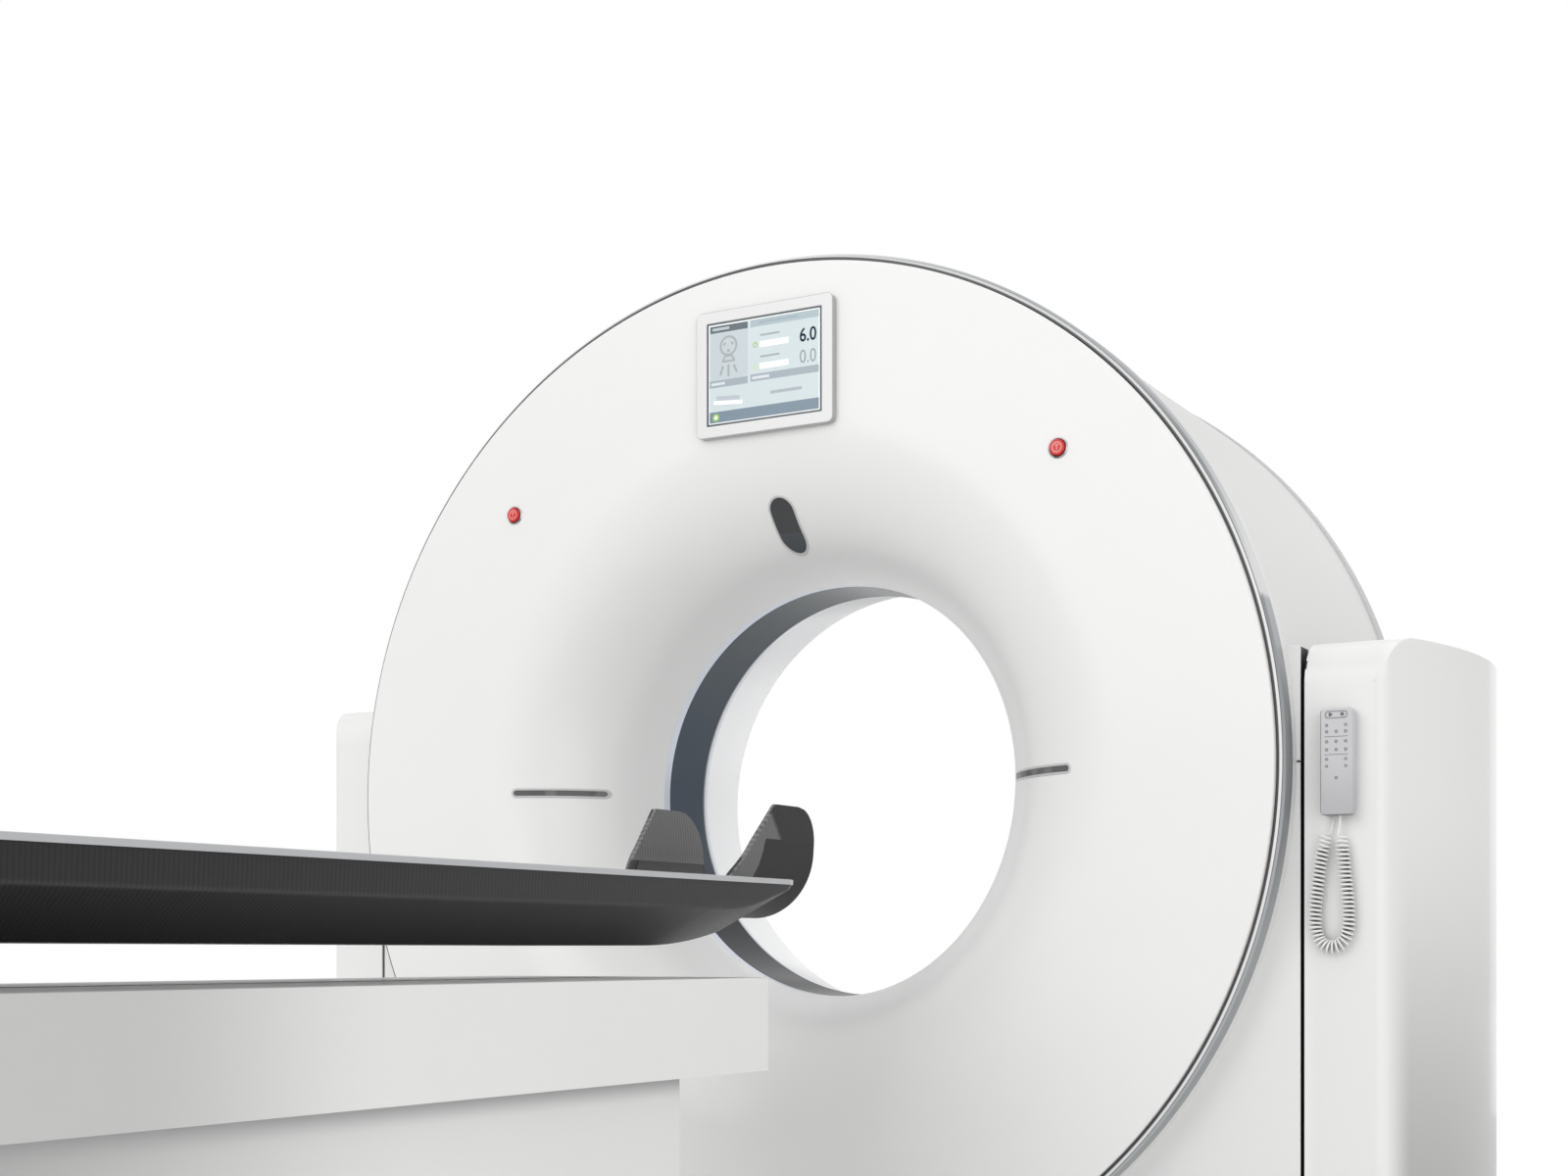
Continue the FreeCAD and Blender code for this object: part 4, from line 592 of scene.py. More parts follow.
def skirt_grey():
    """As the covers, with painted shadow under the table's edge and painted shade towards the far
    end.
    """
    base = chosen("cover")
    look = moulded("skirt_grey", shade(base, 0.93), 0.42)
    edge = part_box("skirt_upper")[1].z
    look.cloud(2.5, 3, shade(base, 0.94), shade(base, 0.97))
    # Painted shade towards the far end.
    look.over(1 - look.y.ramp(-2.1, -1.42), shade(base, 0.56))
    # Painted shadow under the table's edge.
    return look.over(look.z.ramp(edge - 0.03, edge), shade(base, 0.6))


def machine_grey():
    return painted("machine_grey", (0.20, 0.21, 0.23))


def base_steel():
    return painted("base_steel", (0.10, 0.105, 0.11))


def cast_alloy():
    look = metal("cast_alloy", (0.42, 0.43, 0.45), 0.45)
    return look.relief(look.noise(250, 3), 0.0002, 0.4)


def ground_steel():
    return metal("ground_steel", (0.48, 0.48, 0.50), 0.25, turned_marks)


def weight_iron():
    look = metal("weight_iron", (0.14, 0.14, 0.145), 0.6)
    return look.relief(look.noise(180, 3), 0.0004, 0.5)


def slip_resin():
    """Resin ring with copper tracks."""
    look = Finish("slip_resin", (0.05, 0.04, 0.03), 0.5)
    track = ((look.radius() * 90) % 1.0) > 0.55
    look.paint(look.mix(track, (0.05, 0.04, 0.03), (0.60, 0.26, 0.12)))
    return look.set(metallic=track)


def belt_rubber():
    """Black rubber with slanting ribs."""
    look = Finish("belt_rubber", (0.02, 0.02, 0.02), 0.7)
    look.cloud(200, 3, (0.015, 0.015, 0.015), (0.03, 0.03, 0.03))
    return look.relief(((look.x + look.z) * 120) % 1.0, 0.001, 0.5)


def lit_screen():
    """The picture on the display: fields of colour, marks and bars, without words. Shares run
    from the picture's left and top edges."""
    low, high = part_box("display_glass")
    left, top, wide, tall = low.x, high.z, high.x - low.x, high.z - low.z
    look = Finish("lit_screen", (0.66, 0.73, 0.76), 0.16, coat_weight=0.4, coat_roughness=0.04)

    def field(u0, u1, v0, v1):
        across = look.x.between(left + u0 * wide, left + u1 * wide)
        return across * look.z.between(top - v1 * tall, top - v0 * tall)

    def ring(u, v, outer, inner):
        away = reach(look.x - (left + u * wide), look.z - (top - v * tall))
        return away.between(inner, outer)

    def stroke(u0, v0, u1, v1, thick):
        """A straight stroke between two places: near enough to their line, and between them."""
        way = (u1 - u0) * wide, (v0 - v1) * tall
        long = math.hypot(*way)
        cos, sin = way[0] / long, way[1] / long
        across, rise = look.x - (left + u0 * wide), look.z - (top - v0 * tall)
        along, off = across * cos + rise * sin, abs(across * sin - rise * cos)
        return along.between(0.0, long) * (off < thick / 2)

    mark, bar, white = (0.31, 0.34, 0.355), (0.29, 0.345, 0.39), (0.97, 0.98, 0.98)
    lamp, lamp_sign, text = (0.27, 0.50, 0.05), (0.90, 0.95, 0.85), (0.28, 0.33, 0.37)
    words = (0.62, 0.67, 0.71)
    layers = [
        (field(0.024, 0.362, 0.10, 0.555), (0.48, 0.54, 0.57)),
        (field(0.030, 0.362, 0.034, 0.10), (0.045, 0.075, 0.095)),
        (field(0.05, 0.20, 0.052, 0.078), (0.42, 0.48, 0.50)),
        (field(0.385, 0.976, 0.022, 0.10), (0.34, 0.43, 0.46)),
        (field(0.46, 0.80, 0.050, 0.074), (0.28, 0.36, 0.40)),
        (field(0.385, 0.976, 0.553, 0.622), bar),
        (field(0.40, 0.55, 0.575, 0.602), words),
        (field(0.024, 0.362, 0.560, 0.630), bar),
        (field(0.04, 0.16, 0.583, 0.608), words),
        (field(0.024, 0.976, 0.865, 0.976), (0.125, 0.195, 0.255)),
        (field(0.465, 0.715, 0.246, 0.303), white),
        (field(0.465, 0.715, 0.456, 0.512), white),
        (field(0.47, 0.64, 0.178, 0.196), text),
        (field(0.47, 0.64, 0.385, 0.403), text),
        (field(0.56, 0.83, 0.735, 0.765), (0.33, 0.38, 0.42)),
        (ring(0.192, 0.238, 0.0165, 0.0128), mark),
        (stroke(0.150, 0.232, 0.165, 0.205, 0.0036), mark),
        (stroke(0.218, 0.205, 0.233, 0.232, 0.0036), mark),
        (stroke(0.180, 0.285, 0.204, 0.285, 0.0052), mark),
        (stroke(0.163, 0.335, 0.140, 0.385, 0.0034), mark),
        (stroke(0.221, 0.335, 0.244, 0.385, 0.0034), mark),
        (stroke(0.134, 0.386, 0.250, 0.386, 0.0036), mark),
        (stroke(0.160, 0.338, 0.224, 0.338, 0.0030), mark),
        (stroke(0.145, 0.428, 0.120, 0.515, 0.0040), mark),
        (stroke(0.192, 0.420, 0.192, 0.535, 0.0040), mark),
        (stroke(0.239, 0.428, 0.267, 0.505, 0.0040), mark),
        (stroke(0.060, 0.775, 0.315, 0.800, 0.0062), (0.93, 0.94, 0.95)),
        (stroke(0.085, 0.735, 0.290, 0.752, 0.0070), (0.42, 0.47, 0.52)),
        (ring(0.427, 0.272, 0.0046, 0.0027), lamp),
        (stroke(0.427, 0.268, 0.435, 0.255, 0.0012), lamp),
        (ring(0.432, 0.485, 0.0046, 0.0030), (0.52, 0.62, 0.30)),
        (ring(0.080, 0.921, 0.0062, 0.0), lamp),
        (stroke(0.066, 0.924, 0.094, 0.924, 0.0042), lamp_sign),
        (ring(0.080, 0.911, 0.0021, 0.0011), lamp_sign),
        (1 - field(0.024, 0.976, 0.028, 0.972), white),
        (1 - field(0.0165, 0.9835, 0.019, 0.981), (0.02, 0.035, 0.05)),
    ]
    look.cloud(12, 2, (0.53, 0.61, 0.63), (0.57, 0.65, 0.67))
    for mask, tint in layers:
        look.over(mask, tint)
    return look.set(emission_color=look.tint, emission_strength=0.12)


def digit_dark():
    look = Finish("digit_dark", (0.006, 0.02, 0.045), 0.6, specular_ior_level=0.1)
    return look.cloud(50, 2, (0.005, 0.018, 0.04), (0.008, 0.024, 0.05))


def digit_pale():
    look = Finish("digit_pale", (0.30, 0.345, 0.37), 0.6, specular_ior_level=0.1)
    return look.cloud(50, 2, (0.28, 0.33, 0.35), (0.32, 0.36, 0.39))


def finished(maker):
    """The material that a maker gives, made once."""
    return bpy.data.materials.get(f"{maker.__name__}_finish") or maker().material


# Shapes


def unit(vectors):
    return vectors / np.linalg.norm(vectors, axis=-1, keepdims=True)


def xyz(x, y, z):
    """Points from their three coordinates, each a number or an array that fits the others."""
    return np.stack(np.broadcast_arrays(x, y, z), -1)


def polar(radius, turn):
    """Points at a radius and an angle from the origin."""
    return np.stack(np.broadcast_arrays(radius * np.cos(turn), radius * np.sin(turn)), -1)


def filleted(corners, closed=True, spare=0.0012, even=0):
    """An outline through corners (x, y, radius): each is rounded by an arc that touches both its
    sides, and a point just beyond each end of the arc keeps the flats flat. With even, each arc
    has that many steps whatever its size."""
    points = []
    count = len(corners)
    for k, (x, y, *radius) in enumerate(corners):
        here = np.array((x, y), float)
        radius = radius[0] if radius else 0
        if not radius or (not closed and k in (0, count - 1)):
            points.append(here)
            continue
        back = np.array(corners[k - 1][:2], float) - here
        ahead = np.array(corners[(k + 1) % count][:2], float) - here
        one, two = unit(back), unit(ahead)
        half = math.acos(np.clip(one @ two, -1, 1)) / 2
        touch = radius / math.tan(half)
        centre = here + unit(one + two) * radius / math.sin(half)
        start, end = here + one * touch - centre, here + two * touch - centre
        steps = even or max(4, int(math.sqrt(radius * 1000) * 6 * (1 - half / 1.5708)))
        turn = math.pi - 2 * half
        share = np.linspace(0, 1, steps + 1)[:, None]
        arc = (np.sin((1 - share) * turn) * start + np.sin(share * turn) * end) / math.sin(turn)
        if even or np.linalg.norm(back) > touch + 2 * spare:
            points.append(here + one * (touch + spare))
        points.extend(centre + arc)
        if even or np.linalg.norm(ahead) > touch + 2 * spare:
            points.append(here + two * (touch + spare))
    return np.array(points)


def even_box(centre, wide, tall, corner, depth, inset=0.0, steps=8):
    """A rectangle with round corners that faces the table, with as many points whatever its
    corner: each is a quarter circle about a centre that lies one radius in from both sides."""
    side = np.array(((1, 1), (-1, 1), (-1, -1), (1, -1)))[:, None]
    turn = np.linspace(0, QUARTER, steps + 1) + np.arange(4)[:, None] * QUARTER
    half = np.array((wide, tall)) - inset - corner
    outline = (side * half + polar(corner, turn)).reshape(-1, 2) + centre
    return xyz(outline[:, 0], depth, outline[:, 1])


def soft_edge(centre, wide, tall, corner, front, round_edge, steps):
    """Outlines from the side of a case onto its front, along a quarter circle."""
    turn = np.linspace(0, QUARTER, steps)
    cuts = zip(round_edge * (1 - np.cos(turn)), front + round_edge * (1 - np.sin(turn)))
    return [even_box(centre, wide, tall, corner - inset, depth, inset) for inset, depth in cuts]


def circle(centre, radius, depth, count=64):
    """A circle that faces the table."""
    spot = polar(radius, np.linspace(0, 2 * math.pi, count, endpoint=False)) + centre
    return xyz(spot[:, 0], depth, spot[:, 1])


def grid_faces(rows, columns, round_rows, round_columns):
    """Quads over a grid of points, which may close on itself either way."""
    r = np.arange(rows if round_rows else rows - 1)
    c = np.arange(columns if round_columns else columns - 1)
    r, c = np.meshgrid(r, c, indexing="ij")
    r2, c2 = (r + 1) % rows, (c + 1) % columns
    corners = (r * columns + c, r * columns + c2, r2 * columns + c2, r2 * columns + c)
    return np.stack(corners, -1).reshape(-1, 4)


def stack_faces(rows, columns, hollow=False):
    """The sides of outlines one behind another, and their flat ends if they don't form a ring."""
    ends = [] if hollow else [range(columns), range((rows - 1) * columns, rows * columns)]
    return [*grid_faces(rows, columns, hollow, True), *ends]


def placed(name, data):
    """An object at the origin."""
    made = bpy.data.objects.new(name, data)
    bpy.context.scene.collection.objects.link(made)
    return made


def closed_mesh(name, points, faces):
    """A mesh without doubles that points outwards."""
    mesh = bpy.data.meshes.new(name)
    mesh.from_pydata(np.reshape(points, (-1, 3)).tolist(), [], [list(f) for f in faces])
    form = bmesh.new()
    form.from_mesh(mesh)
    bmesh.ops.remove_doubles(form, verts=form.verts, dist=1e-6)
    bmesh.ops.recalc_face_normals(form, faces=form.faces)
    form.to_mesh(mesh)
    form.free()
    return mesh


def dressed(made, maker, body, slot, replaces=()):
    """A piece with its finish and on its body; its slot is not used."""
    made.data.materials.clear()
    made.data.materials.append(finished(maker))
    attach(made, body)
    if replaces:
        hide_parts(*replaces)
    return made


def piece(name, points, faces, maker, body, slot, replaces=(), crease=32):
    """A smooth closed form, on its body and with its finish."""
    mesh = closed_mesh(name, points, faces)
    mesh.polygons.foreach_set("use_smooth", np.ones(len(mesh.polygons), bool))
    mesh.set_sharp_from_angle(angle=math.radians(crease))
    return dressed(placed(name, mesh), maker, body, slot, replaces)


def lathe(name, profile, maker, slot, *replaces):
    """A closed profile of (along, radius) points turned round the bore's axis."""
    turns = 256
    spot = polar(profile[:, 1], np.linspace(0, 2 * math.pi, turns, endpoint=False)[:, None])
    points = xyz(spot[..., 0], profile[:, 0], ISO + spot[..., 1])
    faces = grid_faces(turns, len(profile), True, True)
    return piece(name, points, faces, maker, "gantry", slot, replaces)


def stack(name, layers, maker, body, slot, hollow=False, **extra):
    """Outlines one behind another, joined into a solid with flat ends, or into a closed ring."""
    points = np.stack(layers)
    faces = stack_faces(*points.shape[:2], hollow)
    return piece(name, points, faces, maker, body, slot, **extra)


def shell(name, near, far, maker, body, slot, **extra):
    """Two grids of points, one behind the other, joined round their edge into a thin solid."""
    rows, columns = near.shape[:2]
    size = rows * columns
    sheet = grid_faces(rows, columns, False, False)
    order = np.arange(size).reshape(rows, columns)
    edge = np.concatenate([order[0], order[1:, -1], order[-1, -2::-1], order[-2:0:-1, 0]])
    after = np.roll(edge, -1)
    rim = np.stack([edge, after, after + size, edge + size], -1)
    points = np.concatenate([near.reshape(-1, 3), far.reshape(-1, 3)])
    faces = np.concatenate([sheet, sheet + size, rim])
    return piece(name, points, faces, maker, body, slot, **extra)


# Gantry


def cover_rim(edge, inward, rounding):
    """The rim of a cover: round its edge, back along its outside and in again under the skin."""
    deep = edge + inward * 0.035
    inside = RIM - SKIN
    return [(edge, RIM, rounding), (deep, RIM), (deep, inside), (edge + inward * SKIN, inside)]


class FrontCover(bpy.types.Operator):
    """The moulded front with its quarter-round funnel"""

    bl_idname = "scanner.front_cover"
    bl_label = "Front cover"

    def execute(self, context):
        sizes = context.scene.scanner_gantry
        profile = filleted([
            (LIP, sizes.bore),
            (FACE, sizes.bore, sizes.funnel),
            *cover_rim(FACE, 1, sizes.face_round),
            (FACE + SKIN, sizes.bore + SKIN, sizes.funnel - SKIN),
            (LIP, sizes.bore + SKIN),
        ])
        lathe("front_cover_skin", profile, cover_white, "cover_white", "front_cover")
        return {"FINISHED"}


class RearCover(bpy.types.Operator):
    """The moulded back with its wider mouth, a cone at 45 degrees"""

    bl_idname = "scanner.rear_cover"
    bl_label = "Rear cover"

    def execute(self, context):
        sizes = context.scene.scanner_gantry
        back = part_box("rear_cover")[1].y
        across = 0.0112         # the cone's skin, measured along the radius
        throat = sizes.bore + FLARE
        mouth, depth = throat + sizes.rear_funnel, LINER_END + sizes.rear_funnel
        profile = filleted([
            (LINER_END, throat),
            (depth, mouth, 0.02),
            (back, mouth + 0.01, 0.008),
            *cover_rim(back, -1, sizes.face_round),
            (back - SKIN, mouth + 0.012),
            (depth - SKIN, mouth - SKIN + across),
            (LINER_END, throat + across),
        ])
        lathe("rear_cover_skin", profile, cover_white, "cover_white", "rear_cover")
        return {"FINISHED"}


class Bands(bpy.types.Operator):
    """The silver bands round the front and rear rims"""

    bl_idname = "scanner.bands"
    bl_label = "Silver bands"

    def execute(self, context):
        for name, sign, maker in (("front_trim_ring", 1, trim_silver),
                                  ("rear_trim_ring", -1, trim_rear)):
            low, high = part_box(name)
            edge, end = (low.y, high.y) if sign > 0 else (high.y, low.y)
            outer, inner, seat = high.x, RIM + 0.0016, RIM - 0.016
            profile = filleted([
                (edge, inner),
                (edge, outer - 0.005, 0.0008),
                (edge + sign * 0.005, outer, 0.0008),
                (end, outer),
                (end, seat),
                (edge + sign * 0.025, seat),
                (edge + sign * 0.025, inner),
            ], spare=0.0004)
            lathe(f"{name}_band", profile, maker, "trim_silver", name)
        return {"FINISHED"}


class Bore(bpy.types.Operator):
    """The silver lip, the dark scan window and the pale liner"""

    bl_idname = "scanner.bore"
    bl_label = "Bore rings"

    def execute(self, context):
        bore = context.scene.scanner_gantry.bore

        def ring(start, end, rounds, flare=0, spare=0.0004):
            """A ring from start to end that widens by flare, both inner edges rounded."""
            wide = bore + flare
            corners = [(start, bore, rounds[0]), (end, wide, rounds[1])]
            return filleted([*corners, (end, wide + WALL), (start, bore + WALL)], spare=spare)

        lip = ring(LIP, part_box("bore_lip_ring")[1].y, (0.0006, 0.0006))
        window = ring(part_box("scan_window_ring")[0].y, WINDOW_END, (0.0012, 0.0012))
        liner = ring(WINDOW_END + 0.0003, LINER_END, (0.0012, 0.001), FLARE, 0.0012)
        lathe("lip_band", lip, lip_silver, "lip_silver", "bore_lip_ring")
        lathe("scan_window_band", window, scan_window, "scan_window", "scan_window_ring")
        lathe("liner_band", liner, liner_white, "liner_grey", "bore_liner")
        return {"FINISHED"}


class Barrel(bpy.types.Operator):
    """The upper cover: a barrel with two square shoulders"""

    bl_idname = "scanner.barrel"
    bl_label = "Upper cover"

    def execute(self, context):
        low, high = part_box("upper_cover")
        side, seam, rise = high.x, low.z - ISO, SHOULDER - ISO
        radius, opening, edge = 0.832, 0.8, 0.0015
        meet = math.sqrt(radius**2 - rise**2)
        start, seam_turn = math.atan2(rise, meet), math.asin(seam / opening)
        # The outline is an arc of a circle between the shoulders, and each point of the opening
        # stands at the same angle on a smaller circle.
        arc = polar(radius, np.linspace(start, math.pi - start, 401))
        shoulder = filleted([(side, seam), (side, rise, 0.004), (meet, rise)], closed=False)
        outline = np.concatenate([shoulder[:-1], arc, shoulder[::-1][1:] * (-1, 1)])
        turn = np.arctan2(outline[:, 1], outline[:, 0])
        hole = polar(opening, np.clip(turn, seam_turn, math.pi - seam_turn))
        cuts = [(hole, BARREL_FRONT), (outline, BARREL_FRONT), (outline, BARREL_FRONT + edge)]
        cuts += [(outline, BARREL_BACK - edge), (outline, BARREL_BACK), (hole, BARREL_BACK)]
        points = np.stack([xyz(ring[:, 0], depth, ISO + ring[:, 1]) for ring, depth in cuts])
        rows, count = points.shape[:2]
        first = np.arange(rows) * count
        faces = [*grid_faces(rows, count, True, False), first, first + count - 1]
        piece("upper_cover_skin", points, faces, barrel_white, "gantry", "barrel_white",
              replaces=["upper_cover"])
        return {"FINISHED"}


class Display(bpy.types.Operator):
    """The display housing, its lit screen and the two numbers on it"""

    bl_idname = "scanner.display"
    bl_label = "Display"

    def execute(self, context):
        front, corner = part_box("display_housing")[0].y, 0.012
        back = front + 0.011
        centre, *half = seen("display_housing")
        middle, *screen = seen("display_glass")
        # Round-cornered rectangles from the back over the soft edge into the screen's recess.
        layers = [even_box(centre, *half, 0.004, back, 0.008)]
        layers.append(even_box(centre, *half, corner, back))
        layers += soft_edge(centre, *half, corner, front, 0.0016, 7)
        layers.append(even_box(centre, *half, 0.0094, front, 0.0026))
        layers.append(even_box(centre, *screen, 0.002, front, -0.001))
        layers += [even_box(centre, *screen, 0.0015, front + deep) for deep in (0.0008, 0.004)]
        stack("display_frame", layers, display_case, "gantry", "display_case", hollow=True,
              replaces=["display_housing"])
        pane = [even_box(centre, *screen, 0.0015, front + deep) for deep in (0.003, 0.001)]
        stack("display_pane", pane, lit_screen, "gantry", "display_screen",
              replaces=["display_glass"])
        for name, words, share, weight, maker in (
            ("time_number", "6.0", 0.312, 0.00035, digit_dark),
            ("delay_number", "0.0", 0.517, -0.0003, digit_pale),
        ):
            foot = middle[1] + screen[1] * (1 - 2 * share)
            self.number(name, words, (0.0655, foot, front + 0.0009), weight, maker)
        return {"FINISHED"}

    def number(self, name, words, place, weight, maker):
        """Thin raised figures on the screen, facing the table and a little narrowed."""
        text = bpy.data.curves.new(name, "FONT")
        text.body = words
        text.size = 0.0305
        text.offset = weight
        text.extrude = 0.0001
        text.resolution_u = 4
        writer = placed(f"{name}_text", text)
        bpy.context.view_layer.update()
        mesh = bpy.data.meshes.new_from_object(writer)
        mesh.name = name
        bpy.data.objects.remove(writer)
        flat = coordinates(mesh)
        points = xyz(place[0] + flat[:, 0] * 0.84, place[2] - flat[:, 2], place[1] + flat[:, 1])
        mesh.vertices.foreach_set("co", points.ravel())
        dressed(placed(name, mesh), maker, "gantry", "display_screen")


def coordinates(mesh):
    """The places of a mesh's vertices."""
    flat = np.zeros(len(mesh.vertices) * 3)
    mesh.vertices.foreach_get("co", flat)
    return flat.reshape(-1, 3)


class LaserWindows(bpy.types.Operator):
    """Dark windows in light bezels that follow the funnel"""

    bl_idname = "scanner.laser_windows"
    bl_label = "Laser windows"

    def execute(self, context):
        sizes = context.scene.scanner_gantry
        rib, proud, gap, sunk = sizes.rib, 0.0014, 0.0002, -0.003
        levels = [(gap, sunk), (gap, 0.0008), (0.0008, proud), (rib - 0.0012, proud)]
        levels += [(rib, gap), (rib, sunk)]
        for where in ("top", "left", "right"):
            low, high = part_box(f"laser_window_{where}")
            if where == "top":
                slot = (low.z - ISO, high.z - ISO, (high.x - low.x) / 2)
            else:
                slot = (*sorted((abs(low.x), abs(high.x))), (high.z - low.z) / 2)
            glass = [self.pane(where, *slot, lift, sizes) for lift in (0.0004, sunk)]
            shell(f"laser_glass_{where}", *glass, laser_glass, "gantry", "laser_glass",
                  replaces=[f"laser_window_{where}"])
            frame = [self.ring(where, *slot, grow, lift, sizes) for grow, lift in levels]
            stack(f"laser_bezel_{where}", frame, window_bezel, "gantry", "bezel_chrome",
                  hollow=True, replaces=["laser_bezels"] if where == "top" else ())
        return {"FINISHED"}

    def pane(self, where, near, far, half, lift, sizes):
        """A slot as stations along its reach: its half width is that of a half disc at both ends,
        half * sin(turn), and constant between them."""
        turn = np.linspace(0, QUARTER, 9)
        ends, swell = half * (1 - np.cos(turn)), half * np.sin(turn)
        middle = np.linspace(near + half, far - half, 24)[1:-1]
        along = np.concatenate([near + ends, middle, (far - ends)[::-1]])
        width = np.concatenate([swell, 0 * middle + half, swell[::-1]])
        side = width[:, None] * np.linspace(-1, 1, 9)
        return self.laid(where, along[:, None] + 0 * side, side, lift, sizes)

    def ring(self, where, near, far, half, grow, lift, sizes):
        """A slot's outline, grown all round: two straight sides and two half circles."""
        near, far, half = near + half, far - half, half + grow
        bend = polar(half, np.linspace(-QUARTER, QUARTER, 14))
        side = np.linspace(near, far, 24)
        bottom = np.stack([side, np.full(24, -half)], -1)
        outline = [bottom, bend + (far, 0), bottom[::-1] * (1, -1), -bend + (near, 0)]
        outline = np.concatenate([part[:-1] for part in outline])
        return self.laid(where, outline[:, 0], outline[:, 1], lift, sizes)

    def laid(self, where, out, side, lift, sizes):
        """Points laid on the funnel and lifted along its normal: at a radius, the funnel's quarter
        circle stands funnel * sqrt(1 - bend^2) before the lip, with bend the share of the funnel
        that is left to its mouth."""
        radius = np.hypot(out, side)
        bend = np.clip((sizes.bore + sizes.funnel - radius) / sizes.funnel, -1, 1)
        along = LIP - (sizes.funnel + lift) * np.sqrt(1 - bend * bend)
        shift = 1 - lift * bend / radius
        out, side = out * shift, side * shift
        if where == "top":
            return xyz(side, along, ISO + out)
        return xyz(out if where == "right" else -out, along, ISO + side)


class Stops(bpy.types.Operator):
    """The two emergency stops in their silver bezels"""

    bl_idname = "scanner.stops"
    bl_label = "Emergency stops"

    def execute(self, context):
        for side in ("left", "right"):
            centre, cap, _ = seen(f"stop_button_{side}")
            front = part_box(f"stop_button_{side}")[0].y
            rim = 0.016
            shape = [(rim, 0.003), (rim, -0.0006), (rim - 0.0008, -0.0016), (rim - 0.002, -0.0022)]
            shape += [(cap + 0.001, -0.0018), (cap + 0.0003, -0.001), (cap + 0.0003, 0.003)]
            bezel = [circle(centre, radius, FACE + depth) for radius, depth in shape]
            stack(f"stop_bezel_{side}", bezel, bezel_silver, "gantry", "bezel_chrome",
                  hollow=True, replaces=["stop_bezels"] if side == "left" else ())
            shape = [(cap - 0.0001, 0.0052), (cap - 0.0001, 0.001), (cap - 0.001, 0.0002)]
            shape += [(cap - 0.003, 0.0), (0.0075, 0.0), (0.0072, 0.0003), (0.0058, 0.0003)]
            shape += [(0.0055, 0.0), (0.001, 0.0)]
            button = [circle(centre, radius, front + depth) for radius, depth in shape]
            stack(f"stop_cap_{side}", button, stop_red, f"stop_{side}", "stop_red",
                  replaces=[f"stop_button_{side}"])
            hole = [circle(centre, cap + 0.0002, FACE + depth) for depth in (-0.001, 0.012)]
            self.drill(bpy.data.objects["front_cover_skin"], hole)
        return {"FINISHED"}

    def drill(self, cover, layers):
        """Takes a round plug out of the cover, so that the cap has room to go in."""
        mesh = closed_mesh("plug", layers, stack_faces(2, len(layers[0])))
        plug = placed("plug", mesh)
        cut = cover.modifiers.new("hole", "BOOLEAN")
        cut.object, cut.operation, cut.solver = plug, "DIFFERENCE", "EXACT"
        drilled = cover.evaluated_get(bpy.context.evaluated_depsgraph_get())
        made = bpy.data.meshes.new_from_object(drilled)
        cover.modifiers.remove(cut)
        cover.data = made
        made.set_sharp_from_angle(angle=math.radians(32))
        bpy.data.objects.remove(plug)
        bpy.data.meshes.remove(mesh)


# Pillars, remote control and cord


class Pillars(bpy.types.Operator):
    """The two bowed pillar covers beside the tilting body"""

    bl_idname = "scanner.pillars"
    bl_label = "Pillars"

    def execute(self, context):
        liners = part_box("pillar_liners")
        for side, sign, panel in (("right", 1, liners[1].x), ("left", -1, -liners[0].x)):
            low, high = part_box(f"pillar_cover_{side}")
            inner, outer = sorted((abs(low.x), abs(high.x)))
            points = self.sections(low.y, high.y, inner, outer, panel, low.z, high.z)
            stack(f"pillar_{side}_skin", points * (sign, 1, 1), cover_white, "base",
                  "cover_white", replaces=[f"pillar_cover_{side}"])
        return {"FINISHED"}

    def sections(self, front, back, inner, outer, panel, foot, top):
        """Cuts across the pillar from front to back. The outer side is an arc of a circle that
        passes through both vertical edges and the bulge, rounded at both edges; the top falls off
        along a quarter circle towards the front and the back."""
        face, edge, crown, lid = 0.964, 0.014, 0.065, 0.0015
        half = (back - front) / 2
        bulge = outer - face
        bow = (half * half + bulge * bulge) / (2 * bulge)
        near = edge * (1 - np.cos(np.linspace(0, QUARTER, 10)))
        fall, middle = np.linspace(edge, crown, 14)[1:], np.linspace(crown, half, 12)[1:]
        inset = np.concatenate([near, fall, middle])
        inset = np.concatenate([inset, 2 * half - inset[-2::-1]])
        away = np.minimum(inset, 2 * half - inset)
        corner, drop = np.clip(edge - away, 0, edge), np.clip(crown - away, 0, crown)
        wide = face + np.sqrt(bow**2 - (inset - half) ** 2) - (bow - bulge)
        wide = wide - (edge - np.sqrt(edge**2 - corner**2))
        peak = top - (crown - np.sqrt(crown**2 - drop**2))
        step = top - crown - 0.0002
        across = [wide, wide, wide, wide - lid, inner, inner, panel, panel]
        height = [foot, step, peak - lid, peak, peak, step, step, foot]
        return np.stack([xyz(x, front + inset, z) for x, z in zip(across, height)], 1)


